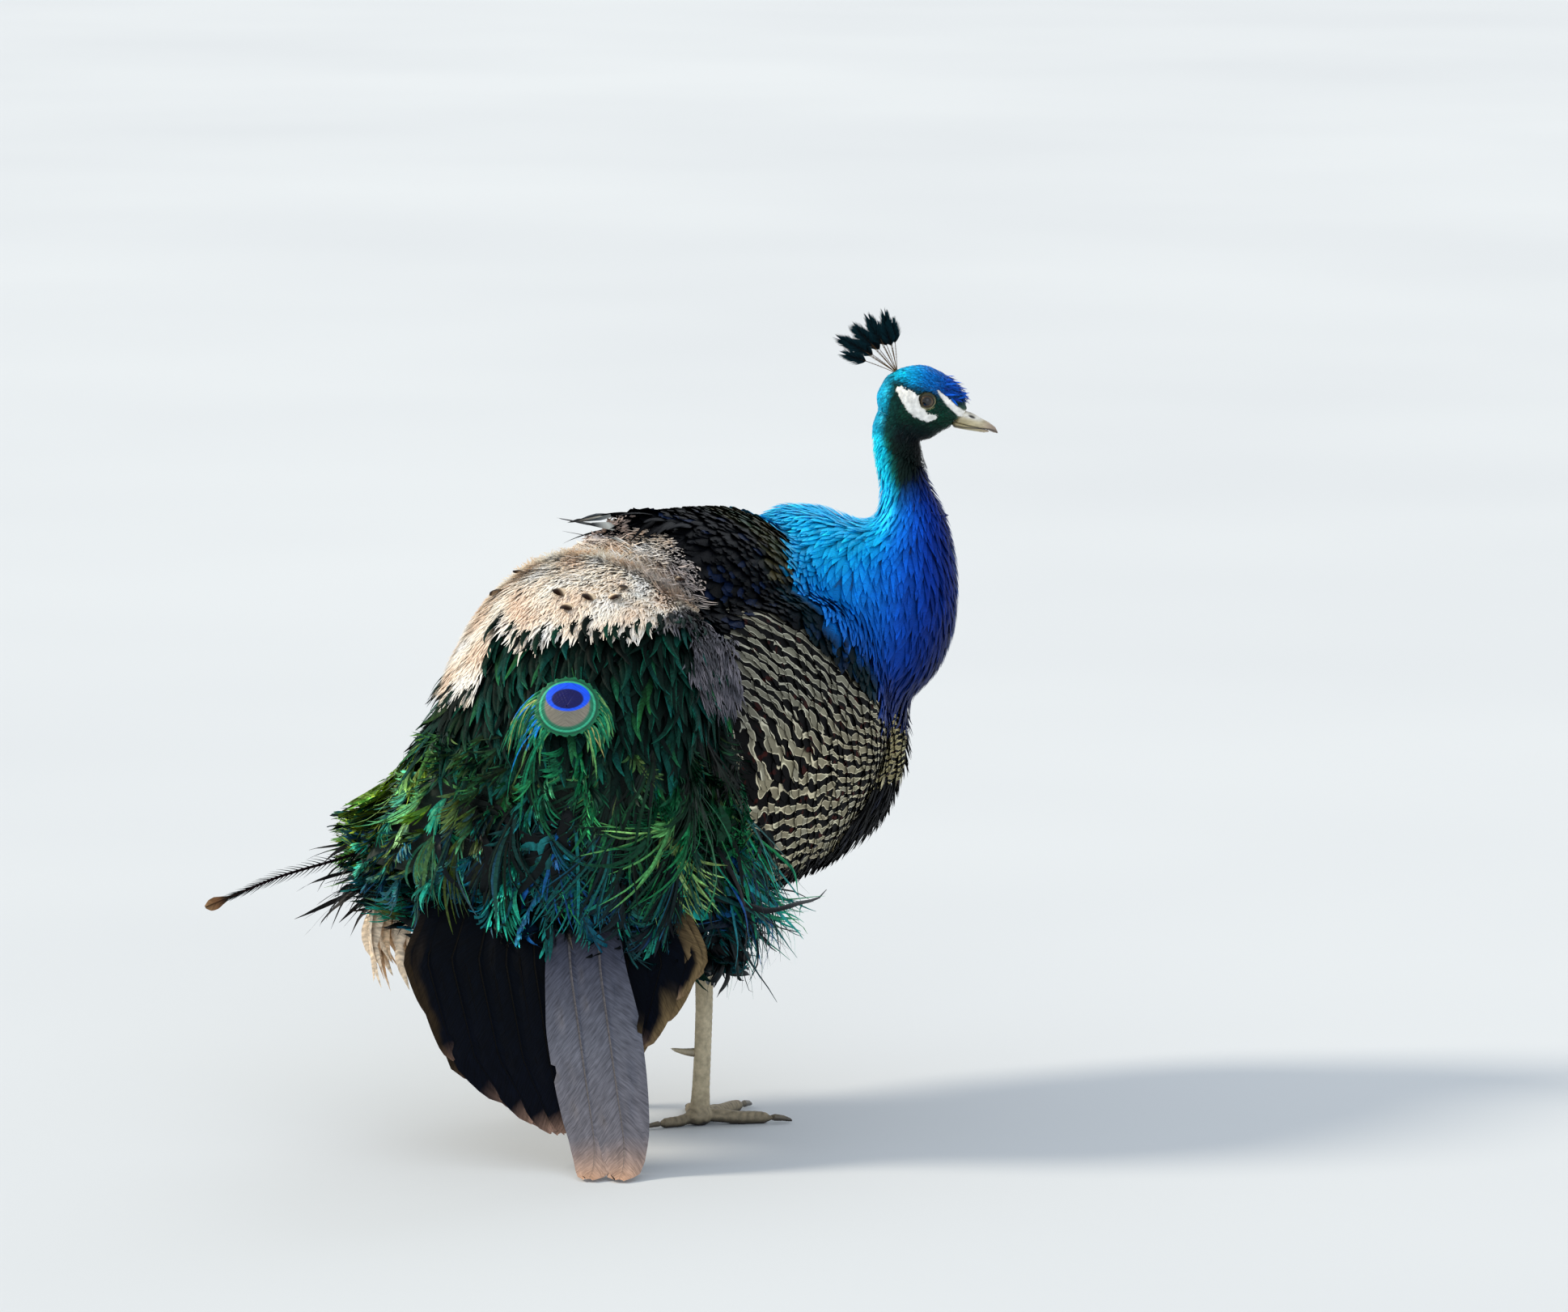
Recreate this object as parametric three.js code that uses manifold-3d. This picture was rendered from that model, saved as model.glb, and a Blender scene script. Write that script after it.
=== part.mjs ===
// A life-size Indian peacock in moult, standing and looking to its right.
// Millimetres, +Z up. The bird faces -Y, and its right side is -X.
// The flesh is a few oval bodies joined into one, then parted by thin cuts.
import * as THREE from 'three';
import { mergeVertices } from 'three/addons/utils/BufferGeometryUtils.js';
import Module from 'manifold-3d';

const wasm = await Module();
wasm.setup();

// ---- driving dimensions ------------------------------------------------------------------

const GAP = 0.3; // clearance between neighbouring solids
const AHEAD = [1, 0, 0];
const SIDE = [0, 1, 0];
const UP = [0, 0, 1];

const LOOK_TURN = 212; // degrees from +X, seen from above, of the way the neck and head face
const HEAD_PLACE = [232, 119, 584]; // the head's centre: ahead, left and up in the look frame
const HEAD_DIP = 13; // degrees the bill points down
const EYE_RADIUS = 7.4;
const EYE_PLACE = [5.5, 13.4, 2]; // ahead of, beside and above the head's centre

const CREST_SHAFTS = 11;
const CREST_ROOT = [-23, 0, 15];
const CREST_FROM = 104; // degrees above the bill line, front shaft
const CREST_TO = 166;
const CREST_LENGTH = 50;

const FOOT_RIGHT = { x: -52, y: -12, turn: -4 };
const FOOT_LEFT = { x: 78, y: -16, turn: 24 };
const ANKLE_HEIGHT = 152;
const TOE_SPREAD = { outer: 56, middle: 0, inner: -38, hind: -145 };
const TOE_LENGTH = { outer: 62, middle: 76, inner: 54, hind: 38 };
const TOE_RADIUS = 5.6;
const CLAW_LENGTH = 15;
const SPUR_HEIGHT = 60;
const SPUR_LENGTH = 20;

const HEM_LOCKS = 22;
const HEM_CENTRE = [4, 64];
const FLANK_LOCKS = 4;
const PLUMES = 5;

// ---- finishes ----------------------------------------------------------------------------

const FINISH = {
  head: ['#0b63c8', 0.6],
  neck: ['#0a55cf', 0.55],
  back: ['#23282a', 0.6],
  belly: ['#0b0d10', 0.8],
  rump: ['#b9a482', 0.85],
  wing: ['#8d8168', 0.75],
  train: ['#1b5a33', 0.55],
  tail: ['#4a4a4b', 0.75],
  thigh: ['#6b5f4c', 0.85],
  leg: ['#8b8069', 0.6],
  claw: ['#3a342c', 0.45],
  bill: ['#b8a98a', 0.45],
  eye: ['#2a1a0c', 0.1],
};

// ---- helpers -----------------------------------------------------------------------------

const model = new THREE.Group();
const { degToRad, clamp, lerp } = THREE.MathUtils;

/** A vector from three numbers. */
const vector = (x = 0, y = 0, z = 0) => new THREE.Vector3(x, y, z);

/** The solid of a closed geometry. */
function solid(geometry) {
  const bare = geometry.clone();
  bare.deleteAttribute('normal');
  bare.deleteAttribute('uv');
  const merged = mergeVertices(bare, 1e-4);
  return new wasm.Manifold(new wasm.Mesh({
    numProp: 3,
    vertProperties: new Float32Array(merged.attributes.position.array),
    triVerts: new Uint32Array(merged.index.array),
  }));
}

/** Joins several solids into one. */
const join = (pieces) => pieces.reduce((whole, piece) => whole.add(piece));

/** The largest separate body of a solid. */
const largest = (body) => body.decompose().sort((a, b) => b.volume() - a.volume())[0];

/** Adds a solid to the model as a named mesh with its finish. */
function add(name, body, [color, roughness]) {
  const mesh = body.getMesh();
  const geometry = new THREE.BufferGeometry();
  geometry.setAttribute('position', new THREE.BufferAttribute(mesh.vertProperties, 3));
  geometry.setIndex(new THREE.BufferAttribute(mesh.triVerts, 1));
  geometry.computeVertexNormals();
  const material = new THREE.MeshStandardMaterial({ color, roughness, metalness: 0 });
  const piece = new THREE.Mesh(geometry, material);
  piece.name = name;
  model.add(piece);
}

/**
 * An oval body drawn along a smooth path: a sphere whose poles lie at the path's ends.
 * Each section is [x, y, z, toSide, fromSide, up, down]: a centre and four radii. `side` is
 * the direction of the first radius at the path's start and end, and "up" is the path's
 * direction crossed with it. `domes` are the parts of the path over which its ends round off.
 */
function loft(sections, { side, domes = [0.15, 0.15], around = 16, along = 12, grow = 0 }) {
  const curve = (pick) => new THREE.CatmullRomCurve3(sections.map(pick), false, 'catmullrom');
  const centre = curve((s) => vector(s[0], s[1], s[2]));
  const breadth = curve((s) => vector(s[3], s[4]));
  const height = curve((s) => vector(s[5], s[6]));
  const [sideStart, sideEnd] = side.map((s) => vector(...s).normalize());
  const ball = new THREE.SphereGeometry(1, around, along);
  const places = ball.attributes.position;
  for (let i = 0; i < places.count; i += 1) {
    const unit = vector().fromBufferAttribute(places, i);
    const t = Math.acos(clamp(unit.y, -1, 1)) / Math.PI;
    const ring = Math.max(Math.hypot(unit.x, unit.z), 1e-9);
    const [cos, sin] = [unit.x / ring, unit.z / ring];
    const fromEnd = Math.min(t / domes[0], (1 - t) / domes[1], 1);
    const dome = fromEnd < 1e-4 ? 0 : Math.sqrt(1 - (1 - fromEnd) ** 2);
    const ahead = centre.getTangent(t);
    const lateral = sideStart.clone().lerp(sideEnd, t);
    lateral.addScaledVector(ahead, -lateral.dot(ahead)).normalize();
    const upward = ahead.clone().cross(lateral);
    const [b, h] = [breadth.getPoint(t), height.getPoint(t)];
    const place = centre.getPoint(t);
    place.addScaledVector(ahead, Math.sign(t - 0.5) * grow * (1 - dome));
    place.addScaledVector(lateral, cos * dome * ((cos > 0 ? b.x : b.y) + grow));
    place.addScaledVector(upward, sin * dome * ((sin > 0 ? h.x : h.y) + grow));
    places.setXYZ(i, place.x, place.y, place.z);
  }
  return solid(ball);
}

/** The half of space on the side of a plane that its normal points to. */
function halfSpace(point, normal) {
  const size = 2000;
  const block = new THREE.BoxGeometry(size, size, size);
  block.translate(0, 0, size / 2 + GAP / 2);
  const toward = vector(...normal).normalize();
  block.applyQuaternion(new THREE.Quaternion().setFromUnitVectors(vector(0, 0, 1), toward));
  block.translate(...point);
  return solid(block);
}

/** Parts a solid by a thin cut: [the side that the normal points to, the other side]. */
function cut(body, point, normal) {
  const back = normal.map((n) => -n);
  return [body.intersect(halfSpace(point, normal)), body.intersect(halfSpace(point, back))];
}

/**
 * One flat feather or lock: a thin blade from a root to a tip, bowed toward `bow`, with its
 * broad side looking toward `face`.
 */
function blade(root, tip, { width, face, thick = 2, bow = [0, 0, 0], around = 4, along = 4, grow }) {
  const [start, end, push] = [vector(...root), vector(...tip), vector(...bow)];
  const lateral = vector(...face).cross(end.clone().sub(start)).normalize().toArray();
  const section = (t, share) => {
    const place = start.clone().lerp(end, t).addScaledVector(push, 4 * t * (1 - t));
    return [...place.toArray(), share * width / 2, share * width / 2, thick / 2, thick / 2];
  };
  const sections = [
    section(0, 0.6), section(0.3, 0.9), section(0.6, 1), section(0.85, 0.75), section(1, 0.3),
  ];
  return loft(sections, { side: [lateral, lateral], domes: [0.25, 0.3], around, along, grow });
}

/** A repeatable fraction from 0 to 1 for an index and a channel. */
function scatter(index, channel) {
  const wave = Math.sin(index * 12.9898 + channel * 78.233) * 43758.5453;
  return wave - Math.floor(wave);
}

// ---- trunk, neck and head ----------------------------------------------------------------

const TRUNK = [
  [-6, 165, 340, 50, 50, 40, 60],
  [0, 90, 350, 102, 102, 105, 125],
  [0, 0, 340, 124, 124, 158, 168],
  [-8, -90, 335, 126, 126, 165, 166],
  [-28, -170, 340, 110, 106, 150, 158],
  [-50, -228, 356, 84, 84, 104, 132],
  [-60, -262, 366, 52, 48, 60, 78],
];
const trunkLoft = (grow) => loft(TRUNK, {
  side: [[1, 0, 0], [0.85, -0.5, 0]], domes: [0.12, 0.16], around: 24, along: 16, grow,
});

/** The look frame: ahead along the neck's and head's own heading, left of it, and up. */
const lookFrame = new THREE.Matrix4().makeRotationZ(degToRad(LOOK_TURN));
const headFrame = lookFrame.clone()
  .multiply(new THREE.Matrix4().makeTranslation(...HEAD_PLACE))
  .multiply(new THREE.Matrix4().makeRotationY(degToRad(HEAD_DIP)));
const onHead = (piece) => piece.transform(headFrame.elements);

const SHOULDER = [
  [70, 150, 405, 80, 80, 85, 90],
  [125, 140, 412, 88, 84, 87, 95],
  [170, 136, 406, 98, 80, 76, 100],
  [206, 144, 394, 84, 66, 60, 90],
  [228, 150, 388, 50, 50, 40, 60],
];
const shoulderLoft = (grow) => loft(SHOULDER, {
  side: [SIDE, SIDE], domes: [0.3, 0.4], around: 16, along: 9, grow,
}).transform(lookFrame.elements);

const NECK = [
  [168, 136, 322, 44, 66, 46, 46],
  [183, 134, 362, 62, 90, 62, 56],
  [200, 132, 405, 64, 90, 66, 56],
  [214, 130, 448, 50, 64, 54, 40],
  [220, 125, 484, 32, 36, 38, 25],
  [219, 121, 512, 22, 22, 24, 21],
  [213, 119, 545, 20, 20, 20, 21],
  [212, 119, 580, 19, 19, 18, 20],
];
const TOWARD_RIGHT = [0, -1, 0];
const neckLoft = (grow) => loft(NECK, {
  side: [TOWARD_RIGHT, TOWARD_RIGHT], domes: [0.2, 0.12], around: 16, along: 15, grow,
}).transform(lookFrame.elements);

const HEAD = [
  [-33, 0, -4, 12, 12, 13, 16],
  [-20, 0, 0, 18.5, 18.5, 22, 28],
  [-5, 0, 0, 20.5, 20.5, 29.5, 33],
  [12, 0, 0, 18.5, 18.5, 27, 33],
  [24, 0, 0, 15, 15, 22.5, 22],
  [34, 0, 0, 11, 11, 15, 14],
  [41, 0, 1, 6, 6, 8, 9],
];
const skullLoft = (grow) => onHead(loft(HEAD, {
  side: [SIDE, SIDE], domes: [0.2, 0.12], around: 12, along: 11, grow,
}));

/** An eyeball on the bird's right or left, a little larger for its socket. */
const eyeball = (out, grow = 0) => solid(new THREE.SphereGeometry(EYE_RADIUS + grow, 12, 7)
  .translate(EYE_PLACE[0], out * EYE_PLACE[1], EYE_PLACE[2]));

const BILL_UPPER = [
  [28, 0, -10, 7.6, 7.6, 11, 1],
  [40, 0, -10.6, 7.2, 7.2, 10.5, 1],
  [51, 0, -10.8, 5.4, 5.4, 8.2, 1],
  [62, 0, -10.8, 3.4, 3.4, 5, 1.2],
  [70.5, 0, -13, 1.3, 1.3, 2, 1.6],
];
const BILL_LOWER = [
  [28, 0, -12, 6.8, 6.8, 2, 4.4],
  [40, 0, -12.4, 6.4, 6.4, 2, 3.8],
  [51, 0, -12.4, 4.8, 4.8, 1.8, 3],
  [64, 0, -12.6, 2.2, 2.2, 1.2, 1.8],
];
const billLoft = (sections, grow = 0) => loft(sections, {
  side: [SIDE, SIDE], domes: [0.06, 0.14], around: 8, along: 7, grow,
});
const billUpper = billLoft(BILL_UPPER);
const billLower = billLoft(BILL_LOWER).subtract(billLoft(BILL_UPPER, GAP));
const billRoom = join([billLoft(BILL_UPPER, GAP), billLoft(BILL_LOWER, GAP)]);

const fleshLoft = (grow) => join(
  [trunkLoft, shoulderLoft, neckLoft, skullLoft].map((oval) => oval(grow)),
);
const fleshRoom = fleshLoft(GAP);
const bareFlesh = fleshLoft(0)
  .subtract(onHead(join([eyeball(1, GAP), eyeball(-1, GAP), billRoom])));

const lookPoint = (ahead, left, up) => vector(ahead, left, up).applyMatrix4(lookFrame).toArray();
const lookWay = (ahead, left, up) => vector(ahead, left, up).transformDirection(lookFrame).toArray();

const [head, headless] = cut(bareFlesh, lookPoint(214, 119, 549), lookWay(0.25, 0, 1));
const [neckUpper, neckless] = cut(headless, lookPoint(220, 122, 492), lookWay(0.3, 0, 1));
const [neckLower, torso] = cut(neckless, lookPoint(128, 130, 420), lookWay(1, 0.35, 0.25));
const [rump, fore] = cut(torso, [0, 62, 340], [0, 1, 0]);
const [back, belly] = cut(fore, [0, -60, 330], [0, 0.12, 1]);

// ---- train -------------------------------------------------------------------------------

const TRAIN = [
  [0, 20, 400, 104, 92, 78, 80],
  [2, 96, 384, 132, 88, 90, 100],
  [2, 150, 320, 146, 98, 66, 90],
  [4, 176, 255, 146, 124, 40, 50],
  [4, 190, 200, 134, 152, 22, 26],
];
const trainLoft = (grow) => loft(TRAIN, {
  side: [[-1, 0, 0], [-0.9, -0.43, 0]], domes: [0.15, 0.1], around: 20, along: 12, grow,
});

/** The hem of the train: ragged locks on an arc round the rump, sweeping out at its left. */
const hemLocks = Array.from({ length: HEM_LOCKS }, (_, i) => {
  const degrees = lerp(6, 176, i / (HEM_LOCKS - 1));
  const sweep = Math.exp(-(((degrees - 36) / 16) ** 2));
  const [outX, outY] = [Math.cos(degToRad(degrees)), Math.sin(degToRad(degrees))];
  const at = (reach, up) => [HEM_CENTRE[0] + outX * reach, HEM_CENTRE[1] + outY * reach, up];
  const reach = lerp(142, 162, scatter(i, 1)) + 66 * sweep;
  const tip = at(reach, lerp(124, 172, scatter(i, 2)) + 44 * sweep * scatter(i, 3));
  const width = lerp(14, 26, scatter(i, 4));
  const bow = [outX * 10, outY * 10, 0];
  return blade(at(126, 244), tip, { width, thick: 5, face: [outX, outY, 0.3], bow });
});

/** Longer locks that fall forward over each flank, outside the wing. */
const flankLocks = (grow) => [-1, 1].flatMap((way) => Array.from({ length: FLANK_LOCKS }, (_, i) => {
  const share = i / (FLANK_LOCKS - 1);
  const root = [way * 116, 98, 300 - 12 * i];
  const tip = [way * lerp(132, 120, share), lerp(-66, 40, share), lerp(172, 112, share ** 0.5)];
  const bow = [way * 34, 0, 0];
  return blade(root, tip, { width: 20, thick: 5, face: [way, 0, 0.2], bow, grow });
}));

/** One long loose feather that trails past the hem, bare-shafted, with a small paddle tip. */
const strand = loft([
  [84, 156, 262, 5, 5, 4, 4],
  [160, 182, 232, 3.4, 3.4, 2, 2],
  [214, 206, 214, 1.8, 1.8, 1.4, 1.4],
  [244, 224, 199, 2.6, 2.6, 1.4, 1.4],
  [256, 231, 193, 5, 5, 1.4, 1.4],
  [266, 237, 188, 2, 2, 1.2, 1.2],
], { side: [[0, 0, 1], [0, 0, 1]], domes: [0.06, 0.06], around: 6, along: 14 });

/** Loose plumes that stand off the back above the rump. */
const plumes = [];
for (let i = 0; i < PLUMES; i += 1) {
  const share = i / (PLUMES - 1);
  const root = [lerp(-34, 2, share), lerp(-44, 22, share), lerp(488, 464, share)];
  const tip = [lerp(10, 46, share), lerp(-2, 54, share), lerp(508, 498, share) - 8 * scatter(i, 5)];
  plumes.push(blade(root, tip, { width: 15, thick: 4, face: [-0.3, 0.2, 1], bow: [0, 0, 3] }));
}

// ---- wings -------------------------------------------------------------------------------

/** Sections of a folded wing: its middle and outer radius on the right and on the left. */
const WING = [
  { y: -192, z: 352, right: [108, 20], left: [46, 22], up: 55, down: 55 },
  { y: -140, z: 338, right: [116, 34], left: [72, 42], up: 98, down: 78 },
  { y: -60, z: 316, right: [116, 36], left: [94, 50], up: 122, down: 112 },
  { y: 20, z: 318, right: [112, 34], left: [94, 52], up: 116, down: 120 },
  { y: 90, z: 328, right: [98, 28], left: [82, 46], up: 90, down: 84 },
  { y: 156, z: 336, right: [70, 12], left: [54, 26], up: 48, down: 36 },
];

/** A folded wing, from its wrist at the breast to its tip beside the rump. */
function wingLoft(way) {
  const sections = WING.map(({ y, z, right, left, up, down }) => {
    if (way < 0) return [-right[0], y, z, right[1], right[1], up, down];
    return [left[0], y, z, left[1], left[1], up, down];
  });
  const side = [-1, 0, 0];
  return loft(sections, { side: [side, side], domes: [0.16, 0.2], around: 16, along: 8 });
}

// ---- tail --------------------------------------------------------------------------------

const TAIL_SIDE = [-0.86, -0.5, 0];
const TAIL = [
  [-6, 128, 322, 30, 30, 16, 16],
  [-18, 160, 250, 74, 66, 14, 16],
  [-40, 184, 165, 116, 110, 10, 12],
  [-62, 200, 90, 74, 98, 7, 8],
  [-80, 207, 30, 36, 54, 5, 5],
];
const tailLoft = (grow) => loft(TAIL, {
  side: [TAIL_SIDE, TAIL_SIDE], domes: [0.12, 0.12], around: 14, along: 9, grow,
});
/** A point on the tail: a place on its middle line, moved across the fan and out from it. */
const onTail = ([x, y, z], across, out) => [
  x + TAIL_SIDE[0] * across + TAIL_SIDE[1] * out,
  y + TAIL_SIDE[1] * across - TAIL_SIDE[0] * out,
  z,
];

/** The feather tips along the tail's lower edge: how far across, and how high they end. */
const TAIL_TIPS = [[-92, 74], [-74, 44], [-54, 44], [-36, 36], [34, 44], [52, 82], [76, 112]];
const tailTips = (grow) => TAIL_TIPS.map(([across, height]) => blade(
  onTail([-56, 194, height + 66], across * 1.06, 0),
  onTail([-76, 206, height - 10], across * 0.86, 0),
  { width: 30, thick: 5, face: [-0.5, 0.86, 0.1], grow },
));
/** The middle pair lies right of the fan's middle, reaches the ground and lies on it. */
const middlePair = (grow) => [20, 37].map((across) => loft([
  [...onTail([-44, 192, 160], across, 5), 17, 17, 3, 3],
  [...onTail([-66, 206, 84], across, 4), 22, 22, 3, 3],
  [...onTail([-80, 214, 26], across, 2), 21, 21, 3, 3],
  [...onTail([-85, 222, 4], across, 2), 17, 17, 2.4, 2.4],
  [...onTail([-91, 236, 2.2], across, 2), 9, 9, 2.4, 2.4],
], { side: [TAIL_SIDE, TAIL_SIDE], domes: [0.1, 0.14], around: 6, along: 9, grow }));
const wholeTail = (grow) => join([tailLoft(grow), ...tailTips(grow), ...middlePair(grow)]);

// ---- legs --------------------------------------------------------------------------------

/** One leg: feathered thigh, bare shank, spur, foot and its claws. `way` is -1 on the right. */
function leg(way, foot) {
  const ground = halfSpace([0, 0, -GAP / 2], UP);
  const footFrame = new THREE.Matrix4()
    .makeTranslation(foot.x, foot.y, 0)
    .multiply(new THREE.Matrix4().makeRotationZ(degToRad(way * foot.turn - 90)));
  const onFoot = (piece) => piece.transform(footFrame.elements);
  const ankle = [foot.x + way * 12, foot.y + 20, ANKLE_HEIGHT];

  const thighLoft = (grow) => loft([
    [way * 58, -46, 262, 30, 30, 34, 34],
    [way * 62, -30, 222, 34, 34, 42, 42],
    [lerp(way * 62, ankle[0], 0.6), lerp(-30, ankle[1], 0.6), 186, 20, 20, 26, 26],
    [ankle[0], ankle[1] + 2, ANKLE_HEIGHT + 8, 11.5, 11.5, 12.5, 12.5],
  ], { side: [AHEAD, AHEAD], domes: [0.2, 0.12], around: 12, along: 8, grow });

  const shankLoft = (grow) => loft([
    [foot.x + way * 13, foot.y + 27, ANKLE_HEIGHT + 20, 8, 8, 8, 8],
    [...ankle, 9, 9, 9.6, 9.6],
    [ankle[0] + way, ankle[1] - 7, ANKLE_HEIGHT - 26, 6.8, 6.8, 8.4, 8.4],
    [foot.x + way * 6, foot.y + 4, 70, 6.4, 6.4, 7.8, 7.8],
    [foot.x + way, foot.y, 26, 7, 7, 8, 8],
    [foot.x, foot.y, 6, 9, 9, 9, 9],
  ], { side: [AHEAD, AHEAD], domes: [0.05, 0.06], around: 8, along: 10, grow });

  const toes = [];
  const claws = {};
  for (const [toe, length] of Object.entries(TOE_LENGTH)) {
    const turn = degToRad(way * TOE_SPREAD[toe]);
    const at = (reach, up) => [Math.cos(turn) * reach, Math.sin(turn) * reach, up];
    const across = [-Math.sin(turn), Math.cos(turn), 0];
    const r = toe === 'hind' ? TOE_RADIUS * 0.8 : TOE_RADIUS;
    const oval = (reach, up, wide, tall) => [
      ...at(reach, up * r), wide * r, wide * r, tall * r, tall * r,
    ];
    toes.push(loft([
      oval(-4, 1.5, 1, 1.05),
      oval(length * 0.33, 1.25, 1.02, 1.02),
      oval(length * 0.5, 0.9, 1.12, 1.04),
      oval(length * 0.75, 0.9, 0.9, 0.98),
      oval(length, 0.72, 0.7, 0.8),
    ], { side: [across, across], domes: [0.1, 0.1], around: 6, along: 7 }));
    claws[toe] = onFoot(loft([
      oval(length - 2, 0.75, 0.5, 0.55),
      oval(length + CLAW_LENGTH * 0.4, 0.8, 0.45, 0.52),
      oval(length + CLAW_LENGTH * 0.8, 0.5, 0.28, 0.3),
      oval(length + CLAW_LENGTH, 0.17, 0.12, 0.14),
    ], { side: [across, across], domes: [0.08, 0.12], around: 5, along: 4 }));
  }
  const palm = solid(new THREE.SphereGeometry(1, 8, 5).scale(12, 11, 9).translate(-1, 0, 8));
  const [shank, stump] = cut(shankLoft(0), [0, 0, 19], UP);
  const sole = onFoot(join([palm, ...toes])).add(stump).intersect(ground);
  const whole = cut(sole, [0, 0, 19], UP)[1];

  const spurWay = vector(-way * 0.6, 0.75, 0.12).normalize();
  const spurAt = (reach, rise, radius) => [
    foot.x + way * 4 + spurWay.x * reach, foot.y + 4 + spurWay.y * reach,
    SPUR_HEIGHT + spurWay.z * reach + rise, radius, radius, radius, radius,
  ];
  const spur = loft([
    spurAt(2, 0, 4.6),
    spurAt(SPUR_LENGTH * 0.6, 0, 3.3),
    spurAt(SPUR_LENGTH, 1, 2),
    spurAt(SPUR_LENGTH * 1.35, 3, 0.7),
  ], { side: [[0.75, 0.6, 0], [0.75, 0.6, 0]], domes: [0.1, 0.15], around: 6, along: 5 });

  return {
    thighRoom: thighLoft(GAP),
    parts: {
      thigh: [thighLoft(0).subtract(fleshRoom), FINISH.thigh],
      shank: [shank.subtract(thighLoft(GAP)), FINISH.leg],
      foot: [whole, FINISH.leg],
      spur: [spur.subtract(shankLoft(GAP)), FINISH.claw],
      ...Object.fromEntries(Object.entries(claws).map(
        ([toe, claw]) => [`claw_${toe}`, [largest(claw.intersect(ground).subtract(whole)), FINISH.claw]],
      )),
    },
  };
}

const legs = { right: leg(-1, FOOT_RIGHT), left: leg(1, FOOT_LEFT) };
const thighRoom = join([legs.right.thighRoom, legs.left.thighRoom]);

// ---- crest -------------------------------------------------------------------------------

const crest = [];
for (let i = 0; i < CREST_SHAFTS; i += 1) {
  const share = i / (CREST_SHAFTS - 1);
  const angle = degToRad(lerp(CREST_FROM, CREST_TO, share));
  const length = CREST_LENGTH * (0.86 + 0.22 * share + 0.08 * scatter(i, 1));
  const lean = (scatter(i, 2) - 0.5) * 7;
  const at = (t) => [
    CREST_ROOT[0] + Math.cos(angle) * length * t,
    lean * t,
    CREST_ROOT[2] + Math.sin(angle) * length * t,
  ];
  crest.push(blade(at(-0.08), at(0.9), { width: 1.6, thick: 1.6, face: SIDE, along: 3 }));
  crest.push(blade(at(0.74), at(1.1), { width: 10.5, thick: 2.4, face: SIDE }));
}

// ---- assembly ----------------------------------------------------------------------------

const tail = wholeTail(0)
  .intersect(halfSpace([0, 0, -GAP / 2], UP))
  .subtract(trainLoft(GAP))
  .subtract(fleshRoom);
const hem = join(hemLocks).subtract(wholeTail(GAP));
const trainBody = join([trainLoft(0), strand, hem, ...flankLocks(0)])
  .subtract(fleshRoom)
  .subtract(thighRoom);
const [trainUpper, trainSkirt] = cut(trainBody, [0, 150, 330], [0, 0.5, 1]);
const wingRoom = join([trainLoft(GAP), ...flankLocks(GAP), thighRoom, fleshRoom]);

add('head', head, FINISH.head);
add('neck_upper', neckUpper, FINISH.neck);
add('neck_lower', neckLower, FINISH.neck);
add('back', largest(back.add(join(plumes).subtract(trainLoft(GAP)))), FINISH.back);
add('belly', belly, FINISH.belly);
add('rump', rump, FINISH.rump);
add('eye_right', onHead(eyeball(-1)), FINISH.eye);
add('eye_left', onHead(eyeball(1)), FINISH.eye);
add('bill_upper', onHead(billUpper), FINISH.bill);
add('bill_lower', onHead(largest(billLower)), FINISH.bill);
add('crest', largest(onHead(join(crest)).subtract(skullLoft(GAP))), FINISH.train);
add('wing_right', largest(wingLoft(-1).subtract(wingRoom)), FINISH.wing);
add('wing_left', largest(wingLoft(1).subtract(wingRoom)), FINISH.wing);
add('train_upper', largest(trainUpper), FINISH.rump);
add('train_skirt', largest(trainSkirt), FINISH.train);
add('tail', largest(tail), FINISH.tail);
for (const [side, one] of Object.entries(legs)) {
  for (const [part, [body, finish]] of Object.entries(one.parts)) add(`${part}_${side}`, body, finish);
}

const bounds = new THREE.Box3().setFromObject(model);
const middle = bounds.getCenter(vector());
model.position.set(-middle.x, -middle.y, -bounds.min.z);

export default model;
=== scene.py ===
"""A life-size Indian peacock in moult, standing with its head turned to its right.

Sizes are millimetres in the bird's own frame: it faces -Y, its right side is -X and the floor
is at height 0. Meshes are turned into metres in the shared frame when they are made. The coat
is many small vanes, tufts and ribbons laid over one skin along the lie of the plumage.
"""
import logging
import math
from dataclasses import dataclass, field
from enum import Enum
from typing import Callable, Sequence

import bmesh
import bpy
import numpy as np
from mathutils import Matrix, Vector
from mathutils.bvhtree import BVHTree
from mathutils.kdtree import KDTree


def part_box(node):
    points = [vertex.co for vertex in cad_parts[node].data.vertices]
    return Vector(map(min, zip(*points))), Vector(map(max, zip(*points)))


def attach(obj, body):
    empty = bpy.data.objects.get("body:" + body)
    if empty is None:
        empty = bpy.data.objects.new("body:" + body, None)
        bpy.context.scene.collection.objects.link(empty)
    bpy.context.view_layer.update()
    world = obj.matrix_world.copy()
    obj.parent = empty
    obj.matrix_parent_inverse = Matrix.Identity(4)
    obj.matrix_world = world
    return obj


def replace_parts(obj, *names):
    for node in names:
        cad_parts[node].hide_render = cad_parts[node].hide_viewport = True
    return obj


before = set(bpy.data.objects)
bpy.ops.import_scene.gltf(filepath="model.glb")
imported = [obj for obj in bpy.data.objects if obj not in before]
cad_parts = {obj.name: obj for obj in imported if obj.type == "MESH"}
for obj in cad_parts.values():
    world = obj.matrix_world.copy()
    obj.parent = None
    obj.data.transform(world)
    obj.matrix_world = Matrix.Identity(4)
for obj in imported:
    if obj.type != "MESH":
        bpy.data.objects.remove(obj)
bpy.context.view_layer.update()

LOG = logging.getLogger("peacock")
MM = 0.001  # metres in a millimetre
BODY = "root"
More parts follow.
